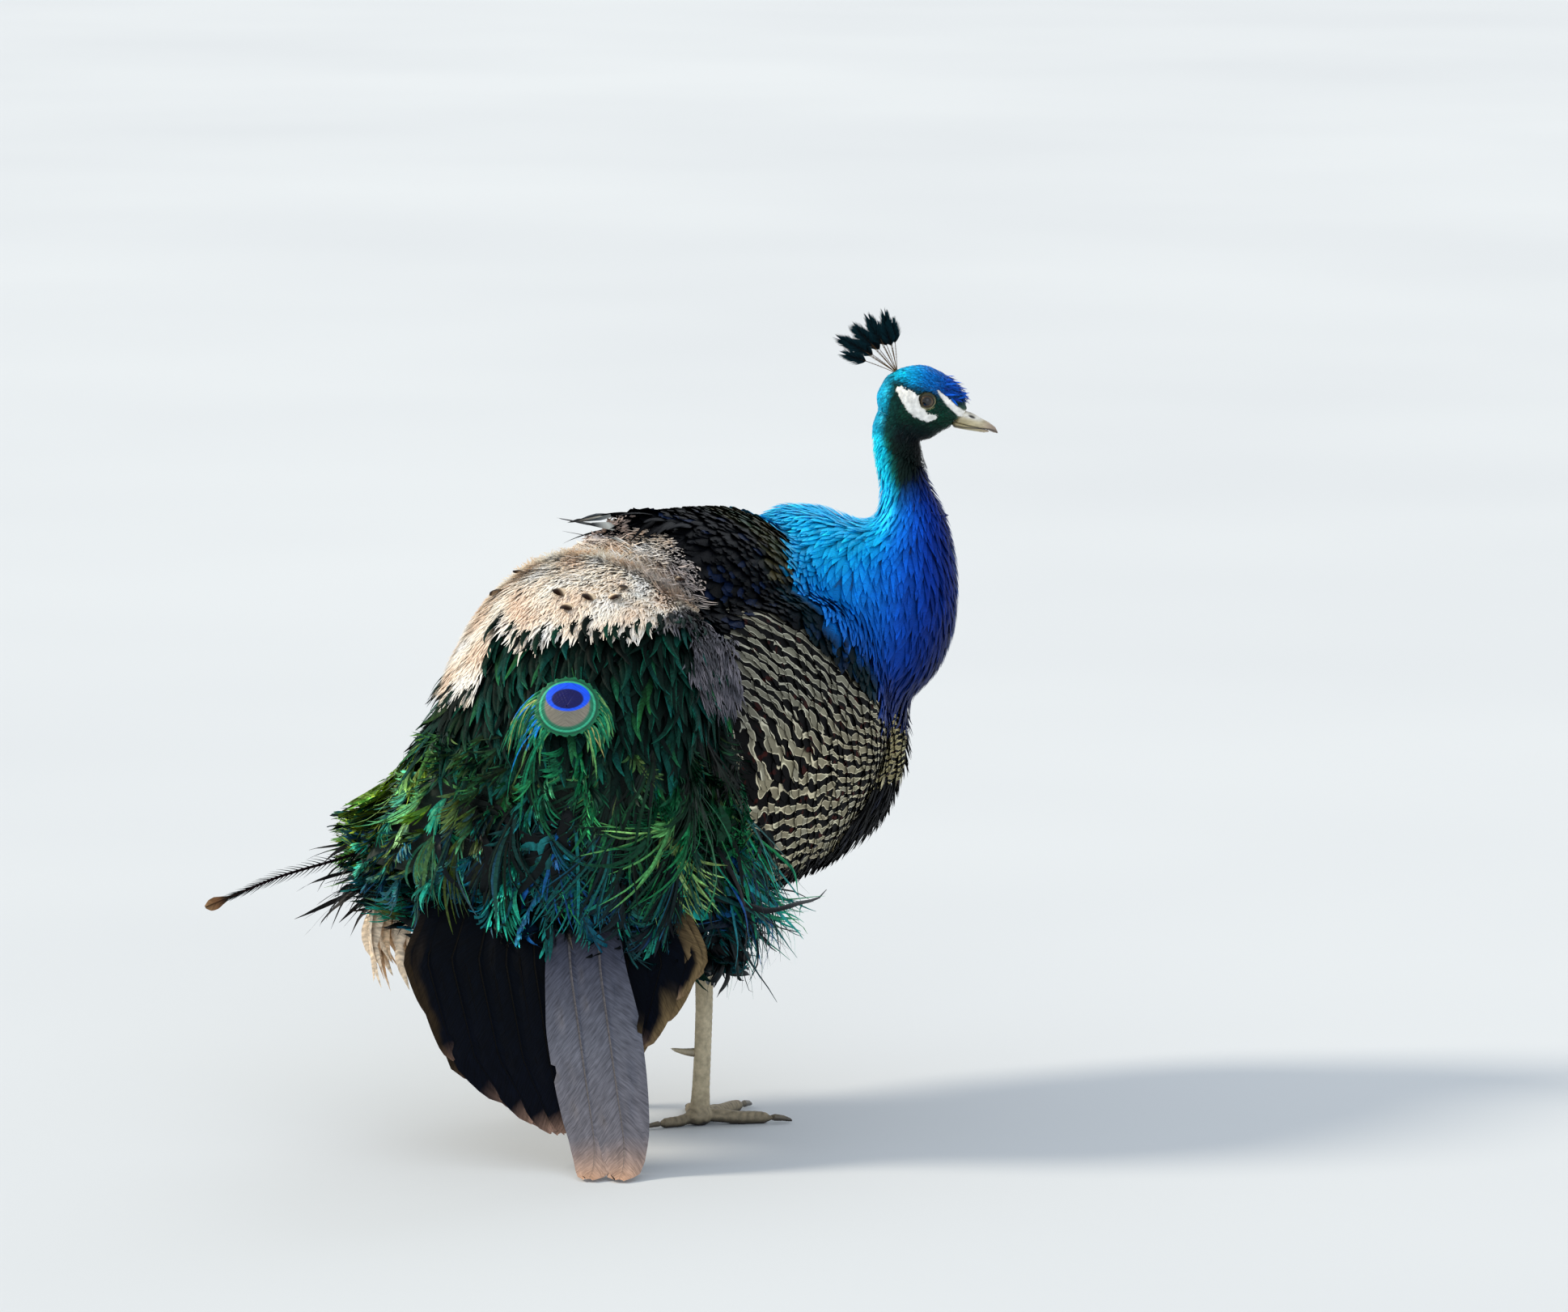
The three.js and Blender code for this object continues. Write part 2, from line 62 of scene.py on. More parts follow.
RIGHT, LEFT = -1, 1

Array = np.ndarray
Field = Callable[[Array, Array], Array]


# ---- frames ------------------------------------------------------------------------------


def unit(vectors: Array) -> Array:
    """Returns the vectors at a length of one, along their last axis."""
    return vectors / np.maximum(np.linalg.norm(vectors, axis=-1, keepdims=True), 1e-9)


def mix(a: Array, b: Array, share: Array) -> Array:
    """Returns the blend from a to b by a share that may differ from row to row."""
    return a + (b - a) * share


def smooth(low: float, high: float, value: Array) -> Array:
    """Returns 0 below low, 1 above high and a smooth step between them."""
    t = np.clip((value - low) / (high - low), 0, 1)
    return t * t * (3 - 2 * t)


def hump(value: Array, centre: float, width: float) -> Array:
    """Returns 1 where the value is at the centre, falling off smoothly over the width."""
    return np.exp(-(((value - centre) / width) ** 2))


def steps(rows: int) -> Array:
    """Returns the shares from 0 to 1 along a vane, shaped for points by vane and row."""
    return np.linspace(0, 1, rows)[None, :, None]


@dataclass(frozen=True)
class Look:
    """The way the neck and head face: a turn about the vertical, then the head's dip."""

    turn: float = 212.0
    head: tuple[float, float, float] = (232.0, 119.0, 584.0)
    dip: float = 13.0

    def axes(self) -> Array:
        """Returns the rows ahead, left and up of the look frame, in the bird's frame."""
        a = math.radians(self.turn)
        return np.array([[math.cos(a), math.sin(a), 0], [-math.sin(a), math.cos(a), 0], [0, 0, 1]])

    def head_axes(self) -> Array:
        """Returns the rows ahead, left and up of the head, in the bird's frame."""
        d = math.radians(self.dip)
        nod = np.array([[math.cos(d), 0, -math.sin(d)], [0, 1, 0], [math.sin(d), 0, math.cos(d)]])
        return nod @ self.axes()

    def world(self, points: Array) -> Array:
        """Returns look-frame points in the bird's frame."""
        return np.asarray(points, float) @ self.axes()

    def local(self, points: Array) -> Array:
        """Returns bird-frame points in the look frame: ahead, left, up."""
        return np.asarray(points, float) @ self.axes().T

    def on_head(self, points: Array) -> Array:
        """Returns head-frame points in the bird's frame."""
        return np.asarray(points, float) @ self.head_axes() + self.world(self.head)

    def from_head(self, points: Array) -> Array:
        """Returns bird-frame points in the head frame."""
        return (np.asarray(points, float) - self.world(self.head)) @ self.head_axes().T


LOOK = Look()
EYE_RADIUS = 7.4
EYE_PLACE = (5.5, 13.4, 2.0)  # ahead of, beside and above the head's centre


def frame_origin() -> Array:
    """Returns the place of the bird's own origin in the shared frame, from the right eye."""
    low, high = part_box("eye_right")
    eye = LOOK.on_head([EYE_PLACE[0], -EYE_PLACE[1], EYE_PLACE[2]])
    origin = np.array((low + high) / 2) - eye * MM
    origin[2] = 0.0
    return origin


ORIGIN = frame_origin()


def to_frame(points: Array) -> Array:
    """Returns bird-frame millimetres as metres in the shared frame."""
    return np.asarray(points, float) * MM + ORIGIN


def mesh_arrays(mesh: bpy.types.Mesh) -> tuple[Array, Array]:
    """Returns a mesh's corners and triangles as arrays.

    Args:
        mesh: The mesh.
    """
    places = np.empty(len(mesh.vertices) * 3)
    mesh.vertices.foreach_get("co", places)
    mesh.calc_loop_triangles()
    faces = np.empty(len(mesh.loop_triangles) * 3, int)
    mesh.loop_triangles.foreach_get("vertices", faces)
    return places.reshape(-1, 3), faces.reshape(-1, 3)


def node_mesh(name: str) -> tuple[Array, Array]:
    """Returns a CAD node's corners, in the bird's frame in millimetres, and its triangles."""
    places, faces = mesh_arrays(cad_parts[name].data)
    return (places - ORIGIN) / MM, faces


# ---- dyes and nodes ----------------------------------------------------------------------


def linear(code: str) -> tuple[float, float, float, float]:
    """Returns an sRGB hex colour as linear red, green, blue and alpha."""
    parts = [int(code[i : i + 2], 16) / 255 for i in (1, 3, 5)]
    lit = [c / 12.92 if c <= 0.04045 else ((c + 0.055) / 1.055) ** 2.4 for c in parts]
    return (*lit, 1.0)


def dye(code: str) -> Array:
    """Returns a hex colour as three linear numbers."""
    return np.array(linear(code)[:3])


def shades(stops: Sequence[tuple[float, str]], value: Array) -> Array:
    """Looks values up on a scale of colours.

    Args:
        stops: Pairs of a value and its hex colour, in rising order.
        value: One number for each place.
    Returns:
        A linear colour for each place.
    """
    at = [stop for stop, _ in stops]
    colours = np.array([dye(code) for _, code in stops])
    return np.stack([np.interp(value, at, colours[:, i]) for i in range(3)], axis=-1)


def tinted(colours: Array, code: str, share: Array) -> Array:
    """Returns the colours, blended towards a hex colour by a share for each."""
    return mix(colours, dye(code), share[:, None])


def node(
    tree: bpy.types.NodeTree,
    kind: str,
    inputs: dict | None = None,
    stops: Sequence[tuple[float, str]] = (),
    **settings: object,
) -> bpy.types.Node:
    """Adds one shader node with its settings, values and links.

    Args:
        tree: The material's nodes.
        kind: The node's type, without the leading ShaderNode.
        inputs: By input name or number, a value, a socket, or a node whose first output is meant.
        stops: A colour ramp's places and hex colours.
        settings: The node's own properties.
    Returns:
        The new node.
    """
    made = tree.nodes.new("ShaderNode" + kind)
    for name, value in settings.items():
        setattr(made, name, value)
    for key, value in (inputs or {}).items():
        value = value.outputs[0] if isinstance(value, bpy.types.Node) else value
        if isinstance(value, bpy.types.NodeSocket):
            tree.links.new(value, made.inputs[key])
        else:
            made.inputs[key].default_value = value
    if stops:
        ramp = made.color_ramp.elements
        while len(ramp) < len(stops):
            ramp.new(0.5)
        for element, (place, code) in zip(ramp, stops):
            element.position = place
            element.color = linear(code)
    return made


def new_material(name: str) -> tuple[bpy.types.Material, bpy.types.NodeTree]:
    """Returns an empty node material and its tree.

    Args:
        name: Its name.
    """
    material = bpy.data.materials.new(name)
    material.use_nodes = True
    material.node_tree.nodes.clear()
    return material, material.node_tree


def close_material(
    tree: bpy.types.NodeTree, colour: bpy.types.Node, height: bpy.types.Node | None, relief: float = 0.0,
    depth: float = 0.0006, **sockets: float,
) -> None:
    """Ends a material with its bump, shader and output.

    Args:
        tree: The material's nodes.
        colour: The base colour.
        height: The pattern's height, if the surface has one.
        relief: How strongly it shows.
        depth: Its depth in metres.
        sockets: Values for the shader's other sockets, with _ for spaces.
    """
    inputs = {key.replace("_", " "): value for key, value in sockets.items()} | {"Base Color": colour}
    if height is not None:
        inputs["Normal"] = node(tree, "Bump", {"Strength": relief, "Distance": depth, "Height": height})
    node(tree, "OutputMaterial", {"Surface": node(tree, "BsdfPrincipled", inputs)})


def mottled(
    tree: bpy.types.NodeTree, colour: bpy.types.Node, noise: bpy.types.Node, amount: float
) -> bpy.types.Node:
    """Returns a colour made lighter and darker by a noise, by a share of itself."""
    strength = node(tree, "MapRange", {"Value": noise, "From Min": 0.3, "From Max": 0.7,
                                       "To Min": 1 - amount, "To Max": 1 + amount})
    return node(tree, "VectorMath", {0: colour, "Scale": strength}, operation="SCALE")


@dataclass(frozen=True)
class FeatherFinish:
    """Keratin barbs, grown: a soft satin that streaks along each barb.

    The eye sees fine slanting streaks of lighter and darker dye and a weak glow at grazing
    angles. `barb` is the streak spacing in millimetres: real barbs are 0.3 mm apart, too fine
    to show, so they are drawn in bundles.
    """

    name: str
    roughness: float = 0.6
    sheen: float = 0.2
    metallic: float = 0.0
    barb: float = 1.4
    slant: float = 0.8
    streak: float = 0.5
    relief: float = 0.4
    gloss: float = 0.3
    fuzz: float = 0.4

    def build(self) -> bpy.types.Material:
        """Returns the material: the vane's dye, streaked and ridged along its barbs."""
        material, tree = new_material(self.name)
        vane = node(tree, "Attribute", attribute_name="vane").outputs["Vector"]
        across, along, seed = node(tree, "SeparateXYZ", {0: vane}).outputs[:3]
        reach = node(tree, "Math", {0: across}, operation="ABSOLUTE")
        behind = node(tree, "Math", {0: reach, 1: -self.slant, 2: along}, operation="MULTIPLY_ADD")
        barb = node(tree, "Math", {0: behind, 1: 1 / self.barb}, operation="MULTIPLY")
        spread = node(tree, "Math", {0: across, 1: 0.12}, operation="MULTIPLY")
        place = node(tree, "CombineXYZ", {0: barb, 1: spread, 2: seed})
        noise = node(tree, "TexNoise", {"Vector": place, "Scale": 1.0, "Detail": 2.0})
        close_material(
            tree, mottled(tree, self.dyed(tree), noise, self.streak), noise, self.relief,
            Roughness=self.roughness, Metallic=self.metallic, Sheen_Weight=self.sheen,
            Sheen_Roughness=self.fuzz, Specular_IOR_Level=self.gloss,
        )
        return material

    def dyed(self, tree: bpy.types.NodeTree) -> bpy.types.Node:
        """Returns the vane's own dye."""
        return node(tree, "Attribute", attribute_name="tint")


@dataclass(frozen=True)
class BarredFinish(FeatherFinish):
    """Keratin barbs marked with wavy dark bars, edged pale on greyish buff.

    The bars cross each vane about every `pitch` millimetres, wander, break and join, so the
    eye sees a field of short dark squiggles.
    """

    pitch: float = 9.2
    ground: str = "#8f8a76"
    ink: str = "#030304"
    edge: str = "#e9e2c6"
    rust: str = "#6e2417"

    def dyed(self, tree: bpy.types.NodeTree) -> bpy.types.Node:
        """Returns bars by distance down the wing, bent by noise, under the vane's own dye.

        Args:
            tree: The material's nodes.
        """
        bar = node(tree, "Attribute", attribute_name="bar").outputs["Fac"]
        place = node(tree, "TexCoord").outputs["Object"]
        wander = node(tree, "TexNoise", {"Vector": place, "Scale": 44.0, "Detail": 1.0, "Distortion": 0.3})
        breaks = node(tree, "TexNoise", {"Vector": place, "Scale": 80.0, "Detail": 0.5})
        warm = node(tree, "TexNoise", {"Vector": place, "Scale": 120.0, "Detail": 0.0})
        turns = node(tree, "Math", {0: bar, 1: 2 * math.pi / self.pitch}, operation="MULTIPLY")
        bent = node(tree, "Math", {0: wander, 1: 8.0, 2: turns}, operation="MULTIPLY_ADD")
        wave = node(tree, "Math", {0: bent}, operation="SINE")
        thick = node(tree, "MapRange", {"Value": breaks, "From Min": 0.3, "From Max": 0.7,
                                        "To Min": -0.5, "To Max": 0.85})
        level = node(tree, "Math", {0: wave, 1: thick}, operation="ADD")
        share = node(tree, "MapRange", {"Value": level, "From Min": -1.3, "From Max": 1.3})
        marks = node(tree, "ValToRGB", {0: share}, stops=[
            (0.0, self.ground), (0.34, self.ground), (0.47, self.edge), (0.51, self.edge), (0.55, self.ink),
            (1.0, self.ink)])
        redden = node(tree, "ValToRGB", {0: warm}, stops=[(0.68, "#000000"), (0.74, "#ffffff")])
        in_bar = node(tree, "ValToRGB", {0: share}, stops=[(0.6, "#000000"), (0.7, "#808080")])
        both = node(tree, "Math", {0: redden, 1: in_bar}, operation="MULTIPLY")
        rusty = node(tree, "MixRGB", {0: both, 1: marks, 2: linear(self.rust)})
        return node(tree, "MixRGB", {0: 1.0, 1: rusty, 2: super().dyed(tree)}, blend_type="MULTIPLY")


@dataclass(frozen=True)
class EyespotFinish(FeatherFinish):
    """Iridescent keratin in rings: a navy heart in a blue oval, bronze, then bright green.

    Each ring has its half width, half height and drop below the middle, in millimetres.
    """

    heart: tuple[float, float, float] = (13.6, 8.6, 6.0)
    oval: tuple[float, float, float] = (18.6, 12.2, 7.6)
    rim: tuple[float, float, float] = (26.5, 24.0, 0.0)

    def dyed(self, tree: bpy.types.NodeTree) -> bpy.types.Node:
        """Returns rings by distance from the spot, the heart set below its middle.

        Args:
            tree: The material's nodes.
        """
        spot = node(tree, "Attribute", attribute_name="spot").outputs["Vector"]
        x, y, _ = node(tree, "SeparateXYZ", {0: spot}).outputs[:3]
        rings = []
        for wide, tall, drop in (self.heart, self.oval, self.rim):
            u = node(tree, "Math", {0: x, 1: 1 / wide}, operation="MULTIPLY")
            v = node(tree, "Math", {0: y, 1: 1 / tall, 2: -drop / tall}, operation="MULTIPLY_ADD")
            flat = node(tree, "CombineXYZ", {0: u, 1: v})
            rings.append(node(tree, "VectorMath", {0: flat}, operation="LENGTH").outputs["Value"])
        full = node(tree, "ValToRGB", {0: rings[2]}, stops=[
            (0.0, "#6c6c62"), (0.66, "#7c766a"), (0.72, "#2c6c54"), (0.79, "#0c6a4c"), (0.83, "#38b088"),
            (0.86, "#2c9c74"), (0.89, "#0a4632"), (1.0, "#0c6c45")])
        for ring, border, code in ((rings[1], 0.93, "#0a50e8"), (rings[0], 0.9, "#020650")):
            inside = node(tree, "ValToRGB", {0: ring}, stops=[(border, "#ffffff"), (1.0, "#000000")])
            full = node(tree, "MixRGB", {0: inside, 1: full, 2: linear(code)})
        return full


@dataclass(frozen=True)
class TissueFinish:
    """Living skin or horn, grown: its own dye with pores, flakes or grain.

    `grain` is the spacing of the pattern in millimetres and `relief` is how deep it looks.
    """

    name: str
    roughness: float
    grain: float
    relief: float = 0.4
    mottle: float = 0.25
    coat: float = 0.0
    stretch: tuple[float, float, float] = (1.0, 1.0, 1.0)

    def build(self) -> bpy.types.Material:
        """Returns the material: the tint, mottled and bumped by noise."""
        material, tree = new_material(self.name)
        place = node(tree, "TexCoord").outputs["Object"]
        pulled = node(tree, "Mapping", {"Vector": place, "Scale": self.stretch})
        scale = 1 / (self.grain * MM)
        mottling = node(tree, "TexNoise", {"Vector": pulled, "Scale": scale / 3, "Detail": 4.0})
        height = node(tree, "TexNoise", {"Vector": pulled, "Scale": scale, "Detail": 3.0})
        colour = mottled(tree, node(tree, "Attribute", attribute_name="tint"), mottling, self.mottle)
        close_material(
            tree, colour, height, self.relief, 0.0008, Roughness=self.roughness, Coat_Weight=self.coat,
            Coat_Roughness=0.15,
        )
        return material


@dataclass(frozen=True)
class CorneaFinish:
    """A wet eye: a clear smooth cornea over a fibrous iris and a black pupil."""

    name: str = "wet eye, clear cornea over brown iris"
    pupil: float = 3.5
    iris: float = 5.2
    reach: float = 8.0

    def build(self) -> bpy.types.Material:
        """Returns the material: rings about the pupil, with a clear coat on top."""
        material, tree = new_material(self.name)
        spot = node(tree, "Attribute", attribute_name="spot").outputs["Vector"]
        x, y, _ = node(tree, "SeparateXYZ", {0: spot}).outputs[:3]
        flat = node(tree, "CombineXYZ", {0: x, 1: y})
        ring = node(tree, "VectorMath", {0: flat}, operation="LENGTH").outputs["Value"]
        share = node(tree, "Math", {0: ring, 1: 1 / self.reach}, operation="MULTIPLY")
        pupil, iris = self.pupil / self.reach, self.iris / self.reach
        rings = node(tree, "ValToRGB", {0: share}, stops=[
            (0.0, "#040303"), (pupil, "#060403"), (pupil + 0.03, "#3c2812"), (iris - 0.05, "#54401e"),
            (iris, "#1c140c"), (0.8, "#140e08")])
        turn = node(tree, "TexNoise", {"Vector": spot, "Scale": 1.6, "Detail": 3.0})
        fibre = node(tree, "MapRange", {"Value": turn, "To Min": 0.6, "To Max": 1.4})
        dyed = node(tree, "VectorMath", {0: rings, "Scale": fibre}, operation="SCALE")
        close_material(tree, dyed, None, Roughness=0.25, IOR=1.38, Coat_Weight=0.6, Coat_Roughness=0.02)
        return material


@dataclass(frozen=True)
class StudioFloorFinish:
    """Matt painted board, rolled: an even pale grey with a faint tooth."""

    name: str = "pale matt studio floor"

    def build(self) -> bpy.types.Material:
        """Returns the material: one pale colour with a weak fine bump."""
        material, tree = new_material(self.name)
        tooth = node(tree, "TexNoise", {"Scale": 90.0, "Detail": 2.0})
        tone = node(tree, "ValToRGB", {0: tooth}, stops=[(0.3, "#cfd3d6"), (0.7, "#d6dadc")])
        close_material(tree, tone, tooth, 0.05, 0.001, Roughness=0.9)
        return material


class Finish(Enum):
    """The finishes of the bird, each built once."""

    VELVET = FeatherFinish("velvety iridescent neck feather, grown", 0.5, 0.0, 0.3, 1.3, 0.6, 0.2, 0.35, 0.12)
    SATIN = FeatherFinish("satin black contour feather, grown", 0.5, 0.0, 0.0, 1.4, 0.8, 0.5, 0.4, 0.035)
    SCALY = FeatherFinish("scaly bronze-green back feather, grown", 0.55, 0.0, 0.2, 1.3, 0.8, 0.5, 0.4, 0.08)
    DOWN = FeatherFinish("loose cream down, grown", 0.95, 0.15, 0.0, 2.4, 0.2, 0.07, 0.2, 0.05)
    BARRED = BarredFinish("barred covert feather, grown", 0.8, 0.0, 0.0, 1.3, 0.8, 0.1, 0.3, 0.12)
    HERL = FeatherFinish("iridescent train herl, grown", 0.42, 0.0, 0.35, 2.6, 0.2, 0.4, 0.4, 0.2)
    EYESPOT = EyespotFinish("iridescent eyespot vane, grown", 0.4, 0.02, 0.2, 1.1, 0.7, 0.22, 0.4, 0.3, 0.5)
    VANE = FeatherFinish("matt tail vane, grown", 0.7, 0.0, 0.0, 1.8, 0.9, 0.3, 0.5, 0.05)
    FLUFF = FeatherFinish("black body fluff, grown", 0.8, 0.03, 0.0, 1.6, 0.3, 0.5, 0.4, 0.12)
    SKIN = TissueFinish("bird skin under the coat, pored", 0.7, 1.6, 0.5)
    BILL = TissueFinish("bill horn, grown and worn smooth", 0.36, 1.4, 0.22, 0.2, 0.25, (1, 1, 3))
    CLAW = TissueFinish("claw horn, grown and scuffed", 0.4, 1.0, 0.3, 0.3, 0.2, (1, 1, 2))
    EYE = CorneaFinish()
    FLOOR = StudioFloorFinish()

    def material(self) -> bpy.types.Material:
        """Returns this finish's material, built the first time it is asked for."""
        return bpy.data.materials.get(self.value.name) or self.value.build()


# ---- surfaces ----------------------------------------------------------------------------


def plain_mesh(name: str, points: Array, faces: Array) -> bpy.types.Mesh:
    """Returns a new mesh of these corners and faces."""
    mesh = bpy.data.meshes.new(name)
    mesh.from_pydata(points.tolist(), [], faces.tolist())
    return mesh


def placed(name: str, data: bpy.types.ID) -> bpy.types.Object:
    """Returns a new object in the scene that holds this mesh, lamp or camera."""
    thing = bpy.data.objects.new(name, data)
    bpy.context.scene.collection.objects.link(thing)
    return thing


def joined(parts: Sequence[tuple[Array, Array]]) -> tuple[Array, Array]:
    """Returns the corners and faces of several meshes as those of one."""
    counts = np.cumsum([0] + [len(points) for points, _ in parts[:-1]])
    faces = [faces + count for (_, faces), count in zip(parts, counts)]
    return np.concatenate([points for points, _ in parts]), np.concatenate(faces)


def grid_quads(index: Array) -> Array:
    """Returns the quads between corners that are numbered by row and column."""
    corners = [index[..., :-1, :-1], index[..., :-1, 1:], index[..., 1:, 1:], index[..., 1:, :-1]]
    return np.stack(corners, axis=-1).reshape(-1, 4)


def ring_quads(rings: int, spokes: int) -> Array:
    """Returns the quads between rings of corners, each ring closed on itself."""
    index = np.arange(rings * spokes).reshape(rings, spokes)
    after = np.roll(index, -1, axis=1)
    return np.stack([index[:-1], index[1:], after[1:], after[:-1]], axis=-1).reshape(-1, 4)


def cut_away(
    points: Array, faces: Array, place: Sequence[float], way: Sequence[float]
) -> tuple[Array, Array]:
    """Cuts a closed solid with a plane and closes the cut.

    Args:
        points: Its corners.
        faces: Its triangles.
        place: A point on the plane.
        way: The plane's normal; what lies on that side goes.
    Returns:
        The corners and triangles of what is left.
    """
    mesh = plain_mesh("cut", points, faces)
    work = bmesh.new()
    work.from_mesh(mesh)
    bmesh.ops.remove_doubles(work, verts=work.verts, dist=0.01)
    every = [*work.verts, *work.edges, *work.faces]
    bmesh.ops.bisect_plane(work, geom=every, plane_co=place, plane_no=way, clear_outer=True)
    bmesh.ops.holes_fill(work, edges=[e for e in work.edges if e.is_boundary], sides=0)
    bmesh.ops.triangulate(work, faces=work.faces)
    work.to_mesh(mesh)
    work.free()
    left = mesh_arrays(mesh)
    bpy.data.meshes.remove(mesh)
    return left


def voxel_shell(solids: Sequence[tuple[Array, Array]], voxel: float) -> tuple[Array, Array]:
    """Melts solids into one closed surface of even small faces.

    Args:
        solids: Corners and triangles of each.
        voxel: The size of a face in millimetres.
    Returns:
        The corners and triangles of the one surface.
    """
    mesh = plain_mesh("melt", *joined(solids))
    thing = placed("melt", mesh)
    melt = thing.modifiers.new("melt", "REMESH")
    melt.mode = "VOXEL"
    melt.voxel_size = voxel
    bpy.context.view_layer.update()
    shell = mesh_arrays(thing.evaluated_get(bpy.context.evaluated_depsgraph_get()).to_mesh())
    bpy.data.objects.remove(thing)
    bpy.data.meshes.remove(mesh)
    return shell


def relax(points: Array, faces: Array, rounds: int, share: Array | float = 0.5) -> Array:
    """Smooths a surface by drawing each corner towards its neighbours' middle.

    Args:
        points: The corners.
        faces: The triangles.
        rounds: How many times.
        share: How far each time, for all corners or for each.
    Returns:
        The smoothed corners.
    """
    edges = np.concatenate([faces[:, [0, 1]], faces[:, [1, 2]], faces[:, [2, 0]]])
    edges = np.unique(np.sort(edges, axis=1), axis=0)
    a = np.concatenate([edges[:, 0], edges[:, 1]])
    b = np.concatenate([edges[:, 1], edges[:, 0]])
    count = np.maximum(np.bincount(a, minlength=len(points)), 1)
    pull = share if np.isscalar(share) else share[:, None]
    for _ in range(rounds):
        sums = np.stack([np.bincount(a, points[b, i], len(points)) for i in range(3)], axis=1)
        points = points + pull * (sums / count[:, None] - points)
    return points


class Surface:
    """A closed surface that feathers grow on: it finds near places and their normals."""

    def __init__(self, points: Array, faces: Array) -> None:
        """Keeps the surface and makes its normals and its search tree.

        Args:
            points: Its corners.
            faces: Its triangles.
        """
        self.points, self.faces = points, faces
        corners = points[faces]
        self.cross = np.cross(corners[:, 1] - corners[:, 0], corners[:, 2] - corners[:, 0])
        self.areas = np.linalg.norm(self.cross, axis=1) / 2
        normals = np.zeros_like(points)
        for i in range(3):
            for axis in range(3):
                normals[:, axis] += np.bincount(faces[:, i], self.cross[:, axis], len(points))
        self.normals = unit(normals)
        self.tree = BVHTree.FromPolygons(points.tolist(), faces.tolist())

    def nearest(self, places: Array) -> tuple[Array, Array]:
        """Finds the surface's nearest places.

        Args:
            places: Points near the surface.
        Returns:
            The nearest point and the smooth normal there, for each.
        """
        found = [self.tree.find_nearest(place) for place in places.tolist()]
        on = np.array([hit[0] for hit in found]).reshape(-1, 3)
        index = np.array([hit[2] for hit in found], int)
        corners = self.faces[index]
        far = np.linalg.norm(self.points[corners] - on[:, None], axis=2)
        weight = 1 / np.maximum(far, 0.3)
        return on, unit((self.normals[corners] * weight[..., None]).sum(1))

    def scatter(self, gap: Field | float, keep: Field, rng: np.random.Generator) -> tuple[Array, Array]:
        """Picks evenly spaced places on a part of the surface.

        Args:
            gap: The spacing in millimetres, one or by place and normal.
            keep: Says by place and normal whether it is in the part.
            rng: The random source.
        Returns:
            The places and their normals.
        """
        least = gap if np.isscalar(gap) else float(gap(self.points, self.normals).min())
        total = int(self.areas.sum() / least**2 * 7)
        index = rng.choice(len(self.faces), total, p=self.areas / self.areas.sum())
        u, v = rng.random((2, total))
        over = u + v > 1
        u, v = np.where(over, 1 - u, u), np.where(over, 1 - v, v)
        weight = np.stack([1 - u - v, u, v], axis=1)[..., None]
        places = (self.points[self.faces[index]] * weight).sum(1)
        normals = unit((self.normals[self.faces[index]] * weight).sum(1))
        inside = keep(places, normals)
        places, normals = places[inside], normals[inside]
        gaps = np.full(len(places), gap) if np.isscalar(gap) else gap(places, normals)
        tree = KDTree(len(places))
        for i, place in enumerate(places.tolist()):
            tree.insert(place, i)
        tree.balance()
        free = np.ones(len(places), bool)
        chosen = []
        for i in range(len(places)):
            if free[i]:
                chosen.append(i)
                near = [hit[1] for hit in tree.find_range(places[i], gaps[i])]
                free[near] = False
        return places[chosen], normals[chosen]


# ---- markings ----------------------------------------------------------------------------


def midline(y: Array) -> Array:
    """Returns the x of the trunk's middle: the breast swings to the right with the neck."""
    return np.interp(y, [-262, -228, -170, -90, 0, 90, 165], [-60, -50, -28, -8, 0, 0, -6])


def melted(names: Sequence[str], voxel: float, rounds: int, share: float = 0.5) -> Surface:
    """Returns CAD nodes melted into one surface of faces of that size, and smoothed."""
    points, faces = voxel_shell([node_mesh(name) for name in names], voxel)
    return Surface(relax(points, faces, rounds, share), faces)


class Plumage(Enum):
    """The kinds of plumage on the trunk, in the order that one gives way to the next."""

    BELLY = 0
    BLUE = 1
    # Painted shadow: a near-black band between the blue neck, the wing and the dome.
    BAND = 2
    MANTLE = 3
    DOME = 4
    DOWN = 5
    GREY_DOWN = 6
    BARRED = 7
    SCALES = 8
    HERL = 9


